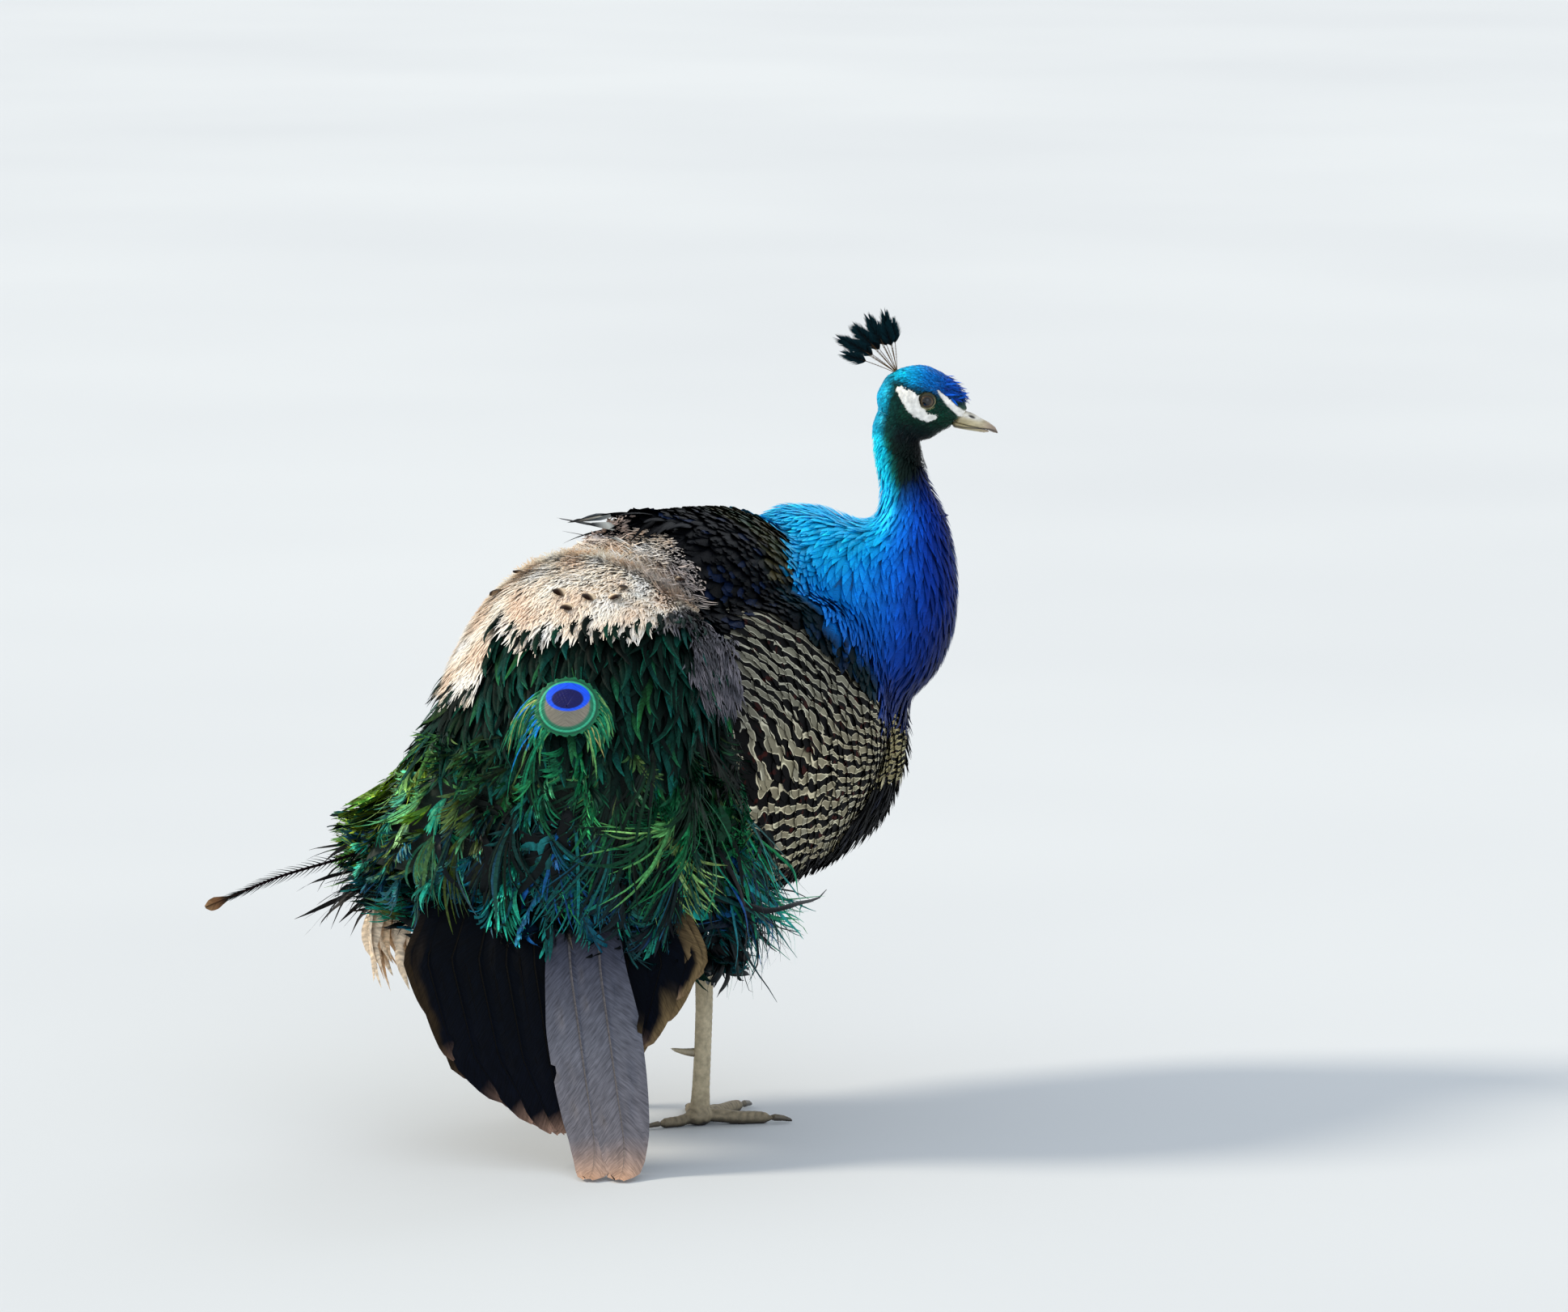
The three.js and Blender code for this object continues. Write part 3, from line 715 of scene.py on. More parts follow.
@dataclass(frozen=True)
class Markings:
    """Where each kind of plumage lies on the bird, the same for skin and coat."""

    wing_top: tuple = ((-200, -139, -103, -60, -14, 39, 56), (326, 342, 366, 400, 433, 420, 380))
    wing_foot: tuple = ((-200, -172, -67, -2, 15, 40, 56), (296, 243, 232, 224, 203, 213, 262))
    blue_back: tuple = ((318, 335, 378, 406, 426, 452, 477, 500),
                        (-212, -204, -150, -100, -92, -92, -140, -150))
    dome_front: tuple = ((0, 40, 63, 89, 110), (-100, -98, -94, -70, -50))
    dome_back: tuple = ((0, 11, 37, 54, 74, 91, 100, 118), (8, 3, 1, 10, 18, 8, -8, -30))
    down_back: tuple = ((0, 16, 35, 58, 77, 90, 104, 114), (178, 170, 162, 150, 142, 124, 84, 30))
    front_y: float = -198.0
    wing_back: float = 52.0
    train_top: float = 332.0
    belly_top: float = 318.0

    def kind(self, p: Array, n: Array) -> Array:
        """Sorts places by plumage.

        Args:
            p: The places.
            n: Their normals.
        Returns:
            The number of each place's Plumage.
        """
        x, y, z = p[:, 0], p[:, 1], p[:, 2]
        side = x - midline(y)
        out = np.abs(side)
        top, foot = np.interp(y, *self.wing_top), np.interp(y, *self.wing_foot)
        blue_y = np.interp(z, *self.blue_back)
        neck_side = LOOK.local(p)
        on_neck = (neck_side[:, 0] > 150) & (np.hypot(neck_side[:, 0] - 205, neck_side[:, 1] - 130) < 78)
        found = np.full(len(p), Plumage.BELLY.value)
        behind = (y > self.wing_back) & (z > 190)
        found[behind & (z <= self.train_top)] = Plumage.HERL.value
        found[behind & (z > self.train_top)] = Plumage.SCALES.value
        above = (z > top) & (y > self.front_y) & (y <= self.wing_back)
        # What is left above the wing is the band of painted shadow.
        found[above] = Plumage.BAND.value
        upper = (n[:, 2] > 0.05) | (z > 440)
        dome = (z > top) & upper & (y > np.interp(out, *self.dome_front)) & (y < 44) & (z > 405)
        found[above & upper & (y <= np.interp(out, *self.dome_front)) & (z > 455)] = Plumage.MANTLE.value
        found[dome & (y > self.front_y)] = Plumage.DOME.value
        low = np.where(side > 20, 372 + 0.1 * out, 402 + 0.22 * out)
        front = np.maximum(np.interp(out, *self.dome_back), np.interp(out, [60, 76, 95], [-40, 36, 62]))
        down = (z > low) & (y >= front) & (y < np.interp(out, *self.down_back))
        found[down & upper] = Plumage.DOWN.value
        spill = (side > 34) & (z > 376) & (y > 90) & (out < 96)
        found[spill & (found == Plumage.SCALES.value)] = Plumage.DOWN.value
        grey = np.hypot((y - 72) / 36, (z - 397) / 29) < 1 + 0.14 * np.sin(z / 4 + y / 7)
        found[grey & (out > 84) & (found != Plumage.DOWN.value) & (y > 42)] = Plumage.GREY_DOWN.value
        breast = (z > 276 + 6 * np.sin(y / 5)) & (z < 326) & (y > -232 + 8 * np.sin(z / 6))
        breast = breast & (y <= self.front_y) & (out > 44)
        barred = breast | (z < top) & (z > foot) & (y > self.front_y) & (y < self.wing_back) & (out > 46)
        found[barred] = Plumage.BARRED.value
        hem = self.belly_top + 7 * np.sin(x / 9) + 5 * np.sin(x / 4.1 + y / 7)
        blue = ((y < blue_y) & (z > hem)) | on_neck & (z > hem + 10)
        found[blue | (z > 516)] = Plumage.BLUE.value
        return found


MARKINGS = Markings()


def wobble(p: Array, size: float, seed: float = 0.0) -> Array:
    """Returns a slow irregular wave from -1 to 1 over space, with humps of about that size.

    Args:
        p: Places, one a row.
        size: The width of a hump.
        seed: A shift that makes one wave differ from another.
    """
    q = p / size * 2 * math.pi
    a = np.sin(q[:, 0] * 0.9 + 1.7 * np.sin(q[:, 1] * 0.53 + seed) + seed * 1.3)
    b = np.sin(q[:, 1] * 1.1 + 1.9 * np.sin(q[:, 2] * 0.47 - seed) + seed * 2.1)
    c = np.sin(q[:, 2] * 0.8 + 1.6 * np.sin(q[:, 0] * 0.61 + 2 * seed) - seed)
    return (a + b + c) / 3


def neck_dye_and_light(p: Array) -> Array:
    """Colours the neck: cyan on the nape and hump as painted sunlight, cobalt below, navy in front as painted
    shade, green-black inside.

    Args:
        p: The places.
    Returns:
        A linear colour for each.
    """
    u, w, z = LOOK.local(p).T
    axis_u = np.interp(z, [322, 362, 405, 448, 484, 512, 545, 580], [168, 183, 196, 208, 220, 219, 213, 212])
    axis_w = np.interp(z, [322, 405, 484, 512, 580], [136, 132, 125, 121, 119])
    reach = np.maximum(np.hypot(u - axis_u, w - axis_w), 1)
    ahead = (u - axis_u) / reach
    level = smooth(330, 480, z)
    # Round the neck, the cyan on the nape side is painted sunlight and the deep navy to black on the front is
    # painted shade.
    bulb = shades([(-1, "#08b8fa"), (-0.5, "#0898f0"), (-0.1, "#0678e0"), (0.3, "#0456c8"), (0.65, "#0238a2"),
                   (1, "#011c64")], ahead)
    low = shades([(-1, "#0460b4"), (-0.2, "#044aa8"), (0.4, "#022e80"), (1, "#011444")], ahead)
    thin = shades([(-1, "#18e4ff"), (-0.6, "#0cc8ea"), (-0.34, "#08645a"), (-0.1, "#081e18"), (1, "#03080c")],
                  ahead)
    dyed = mix(low, bulb, level[:, None])
    dyed = mix(dyed, thin, smooth(490, 524, z + 5 * np.sin(w / 5) - 10 * ahead)[:, None])
    # Painted sunlight: cyan on top of the shoulder hump.
    hump = smooth(432, 482, z) * smooth(-0.1, -0.7, ahead) * (z < 515)
    dyed = tinted(dyed, "#10c0f4", hump * 0.9)
    # Painted shade: a grey-green patch in the crease where the upper neck rises from the hump.
    fold_shade = np.exp(-(((LOOK.local(p) - [208, 166, 486]) / [13, 26, 22]) ** 2).sum(1))
    return tinted(dyed, "#2e3a34", np.clip(1.3 * fold_shade, 0, 0.9))


def trunk_dye_and_light(p: Array, n: Array) -> Array:
    """Colours the trunk by its kinds of plumage, with the neck's painted sunlight and shade and a band of
    painted shadow.

    Args:
        p: The places.
        n: Their normals.
    Returns:
        A linear colour for each.
    """
    kind = MARKINGS.kind(p, n)
    slow = (wobble(p, 46, 1.0) + 1) / 2
    dyes = {
        Plumage.BELLY: shades([(0, "#040405"), (1, "#0b0c12")], slow),
        # Painted shadow: the dark band beside the wing.
        Plumage.BAND: shades([(0, "#03060c"), (1, "#062228")], slow),
        Plumage.MANTLE: shades([(0, "#14302c"), (0.5, "#3a3420"), (1, "#1c4038")], slow),
        Plumage.DOME: shades([(0, "#020304"), (1, "#05060b")], slow),
        Plumage.DOWN: shades([(0, "#e8d2b8"), (0.5, "#f2e6d6"), (1, "#f8f0e6")], slow),
        Plumage.GREY_DOWN: shades([(0, "#3a3f48"), (1, "#6f6a68")], slow),
        Plumage.BARRED: shades([(0, "#6a6450"), (1, "#8a8466")], slow),
        Plumage.SCALES: shades([(0, "#04090a"), (1, "#0a2a24")], slow),
        Plumage.HERL: shades([(0, "#03140f"), (1, "#06301e")], slow),
    }
    dyed = neck_dye_and_light(p)
    for which, colours in dyes.items():
        at = kind == which.value
        dyed[at] = colours[at]
    return dyed


# ---- the lie of the coat -------------------------------------------------------------------


@dataclass(frozen=True)
class Lie:
    """Which way the feathers point, from places on the bird where it is known."""

    trunk: tuple = (
        ((0, -60, 505), (0, 1, -0.1)), ((-60, -40, 480), (-0.12, 1, -0.25)),
        ((-45, -120, 482), (-0.1, 1, -0.1)),
        ((-140, -130, 400), (0, 0.8, -0.6)), ((-130, -50, 330), (0, 1, -0.3)),
        ((-120, 0, 240), (0, 0.95, -0.3)),
        ((-130, -160, 300), (0, 1, -0.35)), ((-20, -250, 330), (0, 0.3, -1)), ((0, -60, 170), (0, 1, -0.05)),
        ((-90, -120, 200), (0, 0.9, -0.4)), ((0, -200, 240), (0, 0.6, -0.8)), ((0, 60, 200), (0, 0.5, -0.8)),
        ((0, 60, 470), (0, 1, -0.2)), ((-60, 80, 450), (-0.2, 1, -0.4)), ((0, 180, 410), (0, 0.5, -0.86)),
        ((-70, 165, 390), (-0.25, 0.5, -0.86)), ((0, 200, 300), (0, 0.2, -1)),
        ((-120, 110, 330), (-0.1, 0.3, -1)),
        ((-110, 90, 250), (-0.15, 0.25, -1)), ((0, 200, 240), (0, 0.25, -1)),
    )
    neck: tuple = (
        ((213, 119, 560), (0, 0, -1)), ((219, 121, 512), (0, 0, -1)), ((195, 160, 480), (-0.4, 0.2, -1)),
        ((255, 130, 450), (0.15, 0, -1)), ((245, 132, 380), (-0.35, 0, -1)),
        ((200, 70, 420), (-0.2, -0.1, -1)),
        ((190, 190, 400), (-0.75, 0.1, -0.9)), ((150, 150, 470), (-1, 0.1, -0.35)),
        ((130, 200, 420), (-0.9, 0, -0.6)),
    )
    head: tuple = (
        ((20, 0, 24), (-1, 0, 0.25)), ((-5, 0, 32), (-1, 0, -0.1)), ((-28, 0, 12), (-0.5, 0, -1)),
        ((0, 20, -5), (-0.9, 0, -0.35)), ((0, -20, -5), (-0.9, 0, -0.35)), ((15, 0, -26), (-1, 0, -0.3)),
        ((-5, 0, -34), (-0.6, 0, -0.8)), ((30, 12, 4), (-1, 0, 0.1)), ((30, -12, 4), (-1, 0, 0.1)),
        ((-25, 12, -14), (-0.3, 0, -1)), ((-25, -12, -14), (-0.3, 0, -1)),
    )

    def table(self) -> tuple[Array, Array]:
        """Returns all the known places and ways in the bird's frame, mirrored on the trunk."""
        places = [p for p, _ in self.trunk] + [(-p[0], p[1], p[2]) for p, _ in self.trunk if p[0]]
        ways = [w for _, w in self.trunk] + [(-w[0], w[1], w[2]) for p, w in self.trunk if p[0]]
        neck = [LOOK.world([p for p, _ in self.neck]), LOOK.world([w for _, w in self.neck])]
        head = [LOOK.on_head([p for p, _ in self.head]),
                np.array([w for _, w in self.head]) @ LOOK.head_axes()]
        return np.concatenate([places, neck[0], head[0]]), unit(np.concatenate([ways, neck[1], head[1]]))

    def at(self, p: Array, n: Array) -> Array:
        """Finds the way the feathers point.

        Args:
            p: The places.
            n: Their normals.
        Returns:
            A unit vector in the surface for each.
        """
        places, ways = self.table()
        far = ((p[:, None] - places) ** 2).sum(2) + 20
        weight = far**-2.0
        way = (weight[..., None] * ways).sum(1) / weight.sum(1, keepdims=True)
        return unit(way - (way * n).sum(1, keepdims=True) * n)


LIE = Lie()


def turned(ways: Array, normals: Array, angle: Array) -> Array:
    """Returns the ways turned about their normals by an angle in radians for each."""
    c, s = np.cos(angle)[:, None], np.sin(angle)[:, None]
    return ways * c + np.cross(normals, ways) * s


# ---- vanes -------------------------------------------------------------------------------


def rounded(t: Array, start: float, reach: float, power: float, least: float) -> Array:
    """Returns 1 that falls away round, from the start of the tip along a feather's length."""
    return np.sqrt(np.clip(1 - (np.clip(t - start, 0, 1) / reach) ** power, least, 1))


def leaf(t: Array) -> Array:
    """Returns a contour feather's half width along its length: full early, rounded at the tip."""
    return np.clip(0.35 + 1.3 * t, 0, 1) * rounded(t, 0.45, 0.56, 2.4, 0.004)


def lance(t: Array) -> Array:
    """Returns a narrow silky feather's half width along its length: widest early, pointed."""
    return np.clip(0.4 + 1.8 * t, 0, 1) * np.clip(1 - np.clip(t - 0.25, 0, 1) / 0.76, 0.03, 1) ** 0.75


def ribbon(t: Array) -> Array:
    """Returns a herl's half width along its length: even, with a short point."""
    return np.clip(0.5 + 2 * t, 0, 1) * np.clip((1.02 - t) * 4.5, 0.06, 1)


def strap(t: Array) -> Array:
    """Returns a loose strip's half width along its length: even past the middle, then a long point."""
    return np.clip(0.4 + 2.4 * t, 0, 1) * np.clip((1 - t) / 0.5, 0.03, 1) ** 0.8


def blade(t: Array) -> Array:
    """Returns a down barb's half width along its length: a slow taper to a fine point."""
    return np.clip(1 - 0.93 * t**1.3, 0.05, 1)


def bar_place(p: Array) -> Array:
    """Measures where bars fall on the wing: slanting on its upper half, level below.

    Args:
        p: The places, in any shape of array.
    Returns:
        The distance across the bars in millimetres, for each.
    """
    y, z = p[..., 1], p[..., 2]
    return mix(0.53 * (y + 80) - 0.85 * (z - 315), 315 - z, smooth(365, 250, z))


HALF_PATCH = 0.0015  # half the width of a vane's patch on the baking map


@dataclass
class Coat:
    """Vanes gathered for one piece, with their values and their places on the baking map."""

    name: str
    rng: np.random.Generator
    points: list[Array] = field(default_factory=list)
    faces: list[Array] = field(default_factory=list)
    roots: list[tuple[Array, Array, Array]] = field(default_factory=list)
    values: dict[str, list[Array]] = field(default_factory=dict)
    count: int = 0

    def gather(self, points: Array, faces: Array, roots: tuple[Array, Array, Array], **values: Array) -> None:
        """Takes in ready-made vanes.

        Args:
            points: Their corners.
            faces: Their quads.
            roots: Each vane's root and normal, and its corners on the baking patch, from -1 to 1.
            values: By name, a number, place or colour for each corner.
        """
        self.points.append(points)
        self.faces.append(faces + self.count)
        self.roots.append(roots)
        self.count += len(points)
        for key, value in values.items():
            self.values.setdefault(key, []).append(value)

    def add(
        self, spine: Array, normals: Array, width: Array, outline: Callable[[Array], Array], tint: Array,
        columns: int = 3, cup: float = 0.16, ragged: float = 0.0, sweep: float = 0.3,
        split: float = 0.0, bar: Array | None = None,
    ) -> None:
        """Adds vanes along their spines.

        Args:
            spine: The shafts' points, by vane and row.
            normals: The outward normal at each of those points.
            width: Each vane's greatest half width in millimetres.
            outline: The share of that width along the vane.
            tint: Linear colours, by vane and row, or by vane, row and column.
            columns: Points across a vane.
            cup: How much the edges drop below the shaft, as a share of the half width.
            ragged: How far edge points stray along the vane, in millimetres.
            sweep: How far the edges run ahead of the shaft, as a share of the half width.
            split: The chance that an edge point is pulled in, which notches the vane.
            bar: How far each vane's bars are shifted from its neighbours', for barred feathers.
        """
        many, rows = spine.shape[:2]
        shape, total = (many, rows, columns), many * rows * columns
        t, s = steps(rows), np.linspace(-1, 1, columns)
        along = unit(np.gradient(spine, axis=1))
        across = unit(np.cross(normals, along))
        half = (width[:, None] * outline(t[0, :, 0]))[..., None]
        notch = np.where(self.rng.random(shape) < split, 0.55, 1.0)
        notch[..., columns // 2] = 1.0
        reach = half * s * notch
        ahead = sweep * half * np.abs(s) * (t - 0.35)
        ahead = ahead + ragged * np.abs(s) * self.rng.normal(0, 1, shape) * t
        drop = -cup * half * s**2
        flat = spine[:, :, None] + across[:, :, None] * reach[..., None]
        body = flat + along[:, :, None] * ahead[..., None] + normals[:, :, None] * drop[..., None]
        length = np.cumsum(np.linalg.norm(np.diff(spine, axis=1), axis=2), axis=1)
        length = np.concatenate([np.zeros((many, 1)), length], axis=1)[..., None]
        seed = self.rng.random(many)[:, None, None] * 60
        patch = np.stack(np.broadcast_arrays(s, t * 2 - 1), axis=-1)
        tint = tint if tint.ndim == 4 else tint[:, :, None]
        bars = np.zeros(shape) if bar is None else bar[:, None, None] + bar_place(flat)
        self.gather(
            body.reshape(-1, 3), grid_quads(np.arange(total).reshape(shape)),
            (spine[:, 0], normals[:, 0], np.broadcast_to(patch, (*shape, 2)).reshape(many, -1, 2)),
            vane=np.stack(np.broadcast_arrays(reach, length, seed), axis=-1).reshape(-1, 3),
            tint=np.broadcast_to(tint, (*shape, 3)).reshape(-1, 3), bar=bars.reshape(-1),
            spot=np.zeros((total, 3)),
        )

    def barbs(
        self, line: Array, out: Array, long: float, many: int, dyes: tuple[str, str], width: float,
        rows: int = 5
    ) -> None:
        """Adds barbs on both sides of a shaft.

        Args:
            line: The shaft's points.
            out: The way the fan faces, at each.
            long: The longest barb.
            many: Barbs on each side.
            dyes: Their root and tip colours.
            width: Their half width.
            rows: How many points a barb has.
        """
        share = np.tile(np.linspace(0, 1, many), 2)
        side = np.repeat([-1.0, 1.0], many)
        at = share * (len(line) - 1)
        low = np.minimum(at.astype(int), len(line) - 2)
        start = mix(line[low], line[low + 1], (at - low)[:, None])
        ahead = unit(line[low + 1] - line[low])
        across = unit(np.cross(out[low], ahead))
        spread = np.radians(58 - 46 * share) * side
        way = ahead * np.cos(spread)[:, None] + across * np.sin(spread)[:, None]
        way = unit(way + out[low] * self.rng.normal(0, 0.2, (2 * many, 1)))
        length = long * (0.55 + 0.6 * np.sin(math.pi * (0.2 + 0.6 * share)))
        length = length * self.rng.uniform(0.8, 1.1, 2 * many)
        t, length = steps(rows), length[:, None, None]
        spine = start[:, None] + way[:, None] * (t * length) + ahead[:, None] * t**2 * 0.35 * length
        tint = ramp(*(np.tile(dye(code), (2 * many, 1)) for code in dyes), rows)
        self.add(spine, held(unit(out[low]), rows), np.full(2 * many, width), blade, tint, 3, 0.3, 0, 0)

    def quill(self, line: Array, out: Array, width: float, taper: float, tint: Array, turn: float) -> None:
        """Adds a round shaft as three narrow vanes that cross.

        Args:
            line: The shaft's points.
            out: The way the first vane faces.
            width: Its half width at the root.
            taper: The share of it that is lost at the tip.
            tint: Its colours by row.
            turn: The angle between the vanes in radians.
        """
        side = np.cross(out, unit(np.gradient(line, axis=0)))
        for angle in (0.0, turn, 2 * turn):
            normal = out * math.cos(angle) + side * math.sin(angle)
            self.add(line[None], normal[None], np.array([width]), lambda s: 1 - taper * s, tint, 3, 0.0, 0, 0)

    def baking_map(self) -> Array:
        """Unwraps the coat: six sides of the bird as six tiles, each vane a small patch.

        Returns:
            Each corner's place on the map.
        """
        places = np.concatenate([root for root, _, _ in self.roots])
        low, high = places.min(0), places.max(0)
        spread = np.maximum(high - low, 1.0)
        mapped = []
        for root, normal, patch in self.roots:
            share = 0.03 + 0.94 * (root - low) / spread
            axis = np.abs(normal).argmax(1)
            plus = np.take_along_axis(normal, axis[:, None], 1)[:, 0] > 0
            first = np.where(axis == 0, share[:, 1], share[:, 0])
            second = np.where(axis == 2, share[:, 1], share[:, 2])
            tile = np.stack([(first + axis) / 3, (second + plus) / 2], axis=1)
            mapped.append((tile[:, None] + patch * HALF_PATCH).reshape(-1, 2))
        return np.concatenate(mapped)

    def piece(self, finish: Finish, slot: str) -> bpy.types.Object:
        """Returns the piece of what was gathered, with that finish; the slot is not used."""
        values = {key: np.concatenate(parts) for key, parts in self.values.items()}
        points, faces = np.concatenate(self.points), np.concatenate(self.faces)
        return make_piece(self.name, points, faces, finish, values, self.baking_map())


def make_piece(
    name: str, points: Array, faces: Array, finish: Finish, values: dict[str, Array],
    mapped: Array | None = None,
) -> bpy.types.Object:
    """Makes a piece that rides on the bird.

    Args:
        name: The piece's name.
        points: Its corners, in the bird's frame in millimetres.
        faces: Its faces, all with the same number of corners.
        finish: Its finish.
        values: Numbers or colours for each corner, by name.
        mapped: Each corner's place on the baking map, if it has one.
    Returns:
        The new object.
    """
    mesh = bpy.data.meshes.new(name)
    many, sides = faces.shape
    mesh.vertices.add(len(points))
    mesh.vertices.foreach_set("co", to_frame(points).astype(np.float32).ravel())
    mesh.loops.add(many * sides)
    mesh.loops.foreach_set("vertex_index", faces.astype(np.int32).ravel())
    mesh.polygons.add(many)
    mesh.polygons.foreach_set("loop_start", np.arange(0, many * sides, sides, dtype=np.int32))
    mesh.polygons.foreach_set("use_smooth", np.ones(many, bool))
    mesh.update(calc_edges=True)
    for key, value in values.items():
        kind, part = ("FLOAT_VECTOR", "vector") if value.ndim == 2 else ("FLOAT", "value")
        if key == "tint":
            kind, part = "FLOAT_COLOR", "color"
            value = np.concatenate([np.clip(value, 0, 1), np.ones((len(value), 1))], axis=1)
        mesh.attributes.new(key, kind, "POINT").data.foreach_set(part, value.astype(np.float32).ravel())
    if mapped is not None:
        layer = mesh.uv_layers.new(name="OFBake")
        layer.data.foreach_set("uv", mapped[faces.ravel()].astype(np.float32).ravel())
    mesh.materials.append(finish.material())
    mesh.validate()
    piece = placed(name, mesh)
    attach(piece, BODY)
    LOG.info("%s: %d corners, %d faces", name, len(points), many)
    return piece


@dataclass
class Plumes:
    """A part of the coat: the surface it grows on, and its random source."""

    ground: Surface
    rng: np.random.Generator

    def sow(self, gap: Field | float, keep: Field) -> tuple[Array, Array]:
        """Returns evenly spaced places and their normals, on the part of the surface to keep."""
        return self.ground.scatter(gap, keep, self.rng)

    def lay(
        self, roots: Array, normals: Array, length: Array, rows: int, stray: Array, depth: float,
        proud: Array | float, power: float = 0.8, bend: Array | float = 0.0,
    ) -> tuple[Array, Array]:
        """Lays shafts over the surface along the lie of the coat.

        Args:
            roots: Where they start.
            normals: The normals there.
            length: Each shaft's length in millimetres.
            rows: How many points a shaft has.
            stray: Each shaft's angle off the lie, in radians.
            depth: How deep the roots sit, in millimetres.
            proud: How high the tips stand, in millimetres.
            power: How soon a shaft rises from its root.
            bend: How much each shaft turns over its length, in radians.
        Returns:
            The shafts' points, and the outward normals there, by shaft and row.
        """
        p, n = roots, normals
        spine, outward = [p], [n]
        for row in range(1, rows):
            way = turned(LIE.at(p, n), n, stray + bend * row / (rows - 1))
            p, n = self.ground.nearest(p + way * (length / (rows - 1))[:, None])
            spine.append(p)
            outward.append(n)
        spine, outward = np.stack(spine, 1), np.stack(outward, 1)
        top = np.broadcast_to(np.asarray(proud, float).reshape(-1, 1), (len(roots), 1))
        height = -depth + (depth + top) * np.linspace(0, 1, rows) ** power
        return spine + outward * height[..., None], outward


def held(normals: Array, rows: int) -> Array:
    """Returns each vane's normal, repeated for all its rows."""
    return np.repeat(normals[:, None], rows, axis=1)


def ramp(base: Array, tip: Array, rows: int, power: float = 1.0) -> Array:
    """Returns colours by vane and row, from the base's to the tip's."""
    t = steps(rows) ** power
    return base[:, None] * (1 - t) + tip[:, None] * t


def jitter(colours: Array, amount: float, rng: np.random.Generator) -> Array:
    """Returns the colours, each made a little lighter or darker at random."""
    return colours * np.exp(rng.normal(0, amount, (len(colours), 1)))


# ---- skin --------------------------------------------------------------------------------

FLESH = (
    "head", "neck_upper", "neck_lower", "back", "belly", "rump", "wing_right", "wing_left", "train_upper",
    "thigh_right", "thigh_left",
)
LEGS = ("shank_right", "shank_left", "foot_right", "foot_left")


def near_line(p: Array, stops: Sequence[tuple[float, float, float]]) -> Array:
    """Measures how far places lie outside a bent band.

    Args:
        p: Places in two dimensions.
        stops: The band's middle line: two coordinates and a half width at each bend.
    Returns:
        The distance to the band's edge, below 0 inside it.
    """
    least = np.full(len(p), 1e9)
    for (ax, ay, ar), (bx, by, br) in zip(stops[:-1], stops[1:]):
        line = np.array([bx - ax, by - ay])
        share = np.clip(((p - [ax, ay]) @ line) / (line @ line), 0, 1)
        far = np.linalg.norm(p - [ax, ay] - share[:, None] * line, axis=1)
        least = np.minimum(least, far - mix(ar, br, share))
    return least


@dataclass(frozen=True)
class Face:
    """The bare marks on each side of the head, in the head frame: ahead, above, half width."""

    cheek: tuple = ((-17.5, 6.5, 4.2), (-8, 0.4, 7.4), (-0.7, -7.2, 6.2), (8.6, -11.6, 3.9),
                    (15.2, -9.9, 2.6))
    brow: tuple = ((13, 12.2, 0.8), (19, 8, 2.2), (27, 2.4, 3.0), (35, -2.2, 3.0), (42, -3.4, 2.6))
    lid_reach: float = 7.6
    bill_root: float = 35.0

    def marks(self, p: Array) -> dict[str, Array]:
        """Returns how far head-frame places lie outside the cheek, brow and eye marks, by name.

        Args:
            p: Places, one a row.
        """
        flat, a, z = p[:, [0, 2]], p[:, 0], p[:, 2]
        away = np.where(np.abs(p[:, 1]) > 4, 0, 20)
        ragged = 0.5 * np.sin(a * 0.9 + 1.1 * np.sin(z * 0.7))
        around = np.hypot(a - EYE_PLACE[0], (z - EYE_PLACE[2]) * 1.1) - self.lid_reach
        return {"cheek": near_line(flat, self.cheek) + ragged + away,
                "brow": near_line(flat, self.brow) + away,
                "eye": around + away}

    def bare(self, p: Array) -> Array:
        """Returns where no feather grows, for places in the head frame."""
        inside = np.min(list(self.marks(p).values()), axis=0) < 0
        return inside | (p[:, 0] > self.bill_root - 1.5) & (p[:, 2] < 4)

    def feather_dye(self, p: Array) -> Array:
        """Dyes the feathered head.

        Args:
            p: Places in the head frame.
        Returns:
            A linear colour for each.
        """
        a, z = p[:, 0], p[:, 2]
        top = shades([(-30, "#0ad0ec"), (-14, "#08b4e4"), (2, "#0880d4"), (18, "#065ab8"), (40, "#063878")],
                     a)
        rear = shades([(-36, "#08bcec"), (-28, "#0894b4"), (-22, "#0a3a34"), (0, "#0a2420")], a)
        side = shades([(-34, "#060c16"), (-22, "#08201e"), (-10, "#0c3c2c"), (4, "#0a3a30"), (14, "#08486c")],
                      z)
        dyed = mix(side, top, smooth(8, 17, z + 0.12 * a)[:, None])
        return mix(dyed, rear, (smooth(-9, -19, a) * smooth(19, 8, z))[:, None])

    def skin_dye(self, p: Array) -> Array:
        """Dyes the skin of the head.

        Args:
            p: Places in the head frame.
        Returns:
            A linear colour for each.
        """
        marks = self.marks(p)
        dyed = self.feather_dye(p)
        under = smooth(4, -4, p[:, 2] - EYE_PLACE[2] + 0.6 * (p[:, 0] - EYE_PLACE[0]))
        olive = tinted(dye("#3c4024"), "#a8a468", under)
        dyed = mix(dyed, olive, smooth(0.8, -0.6, marks["eye"])[:, None])
        pale = smooth(0.6, -0.5, np.minimum(marks["cheek"], marks["brow"]))
        dyed = tinted(dyed, "#f6f3ea", pale)
        root = smooth(33, 37, p[:, 0]) * smooth(2, -2, p[:, 2]) * (1 - pale)
        return tinted(dyed, "#a89a74", root)


FACE = Face()


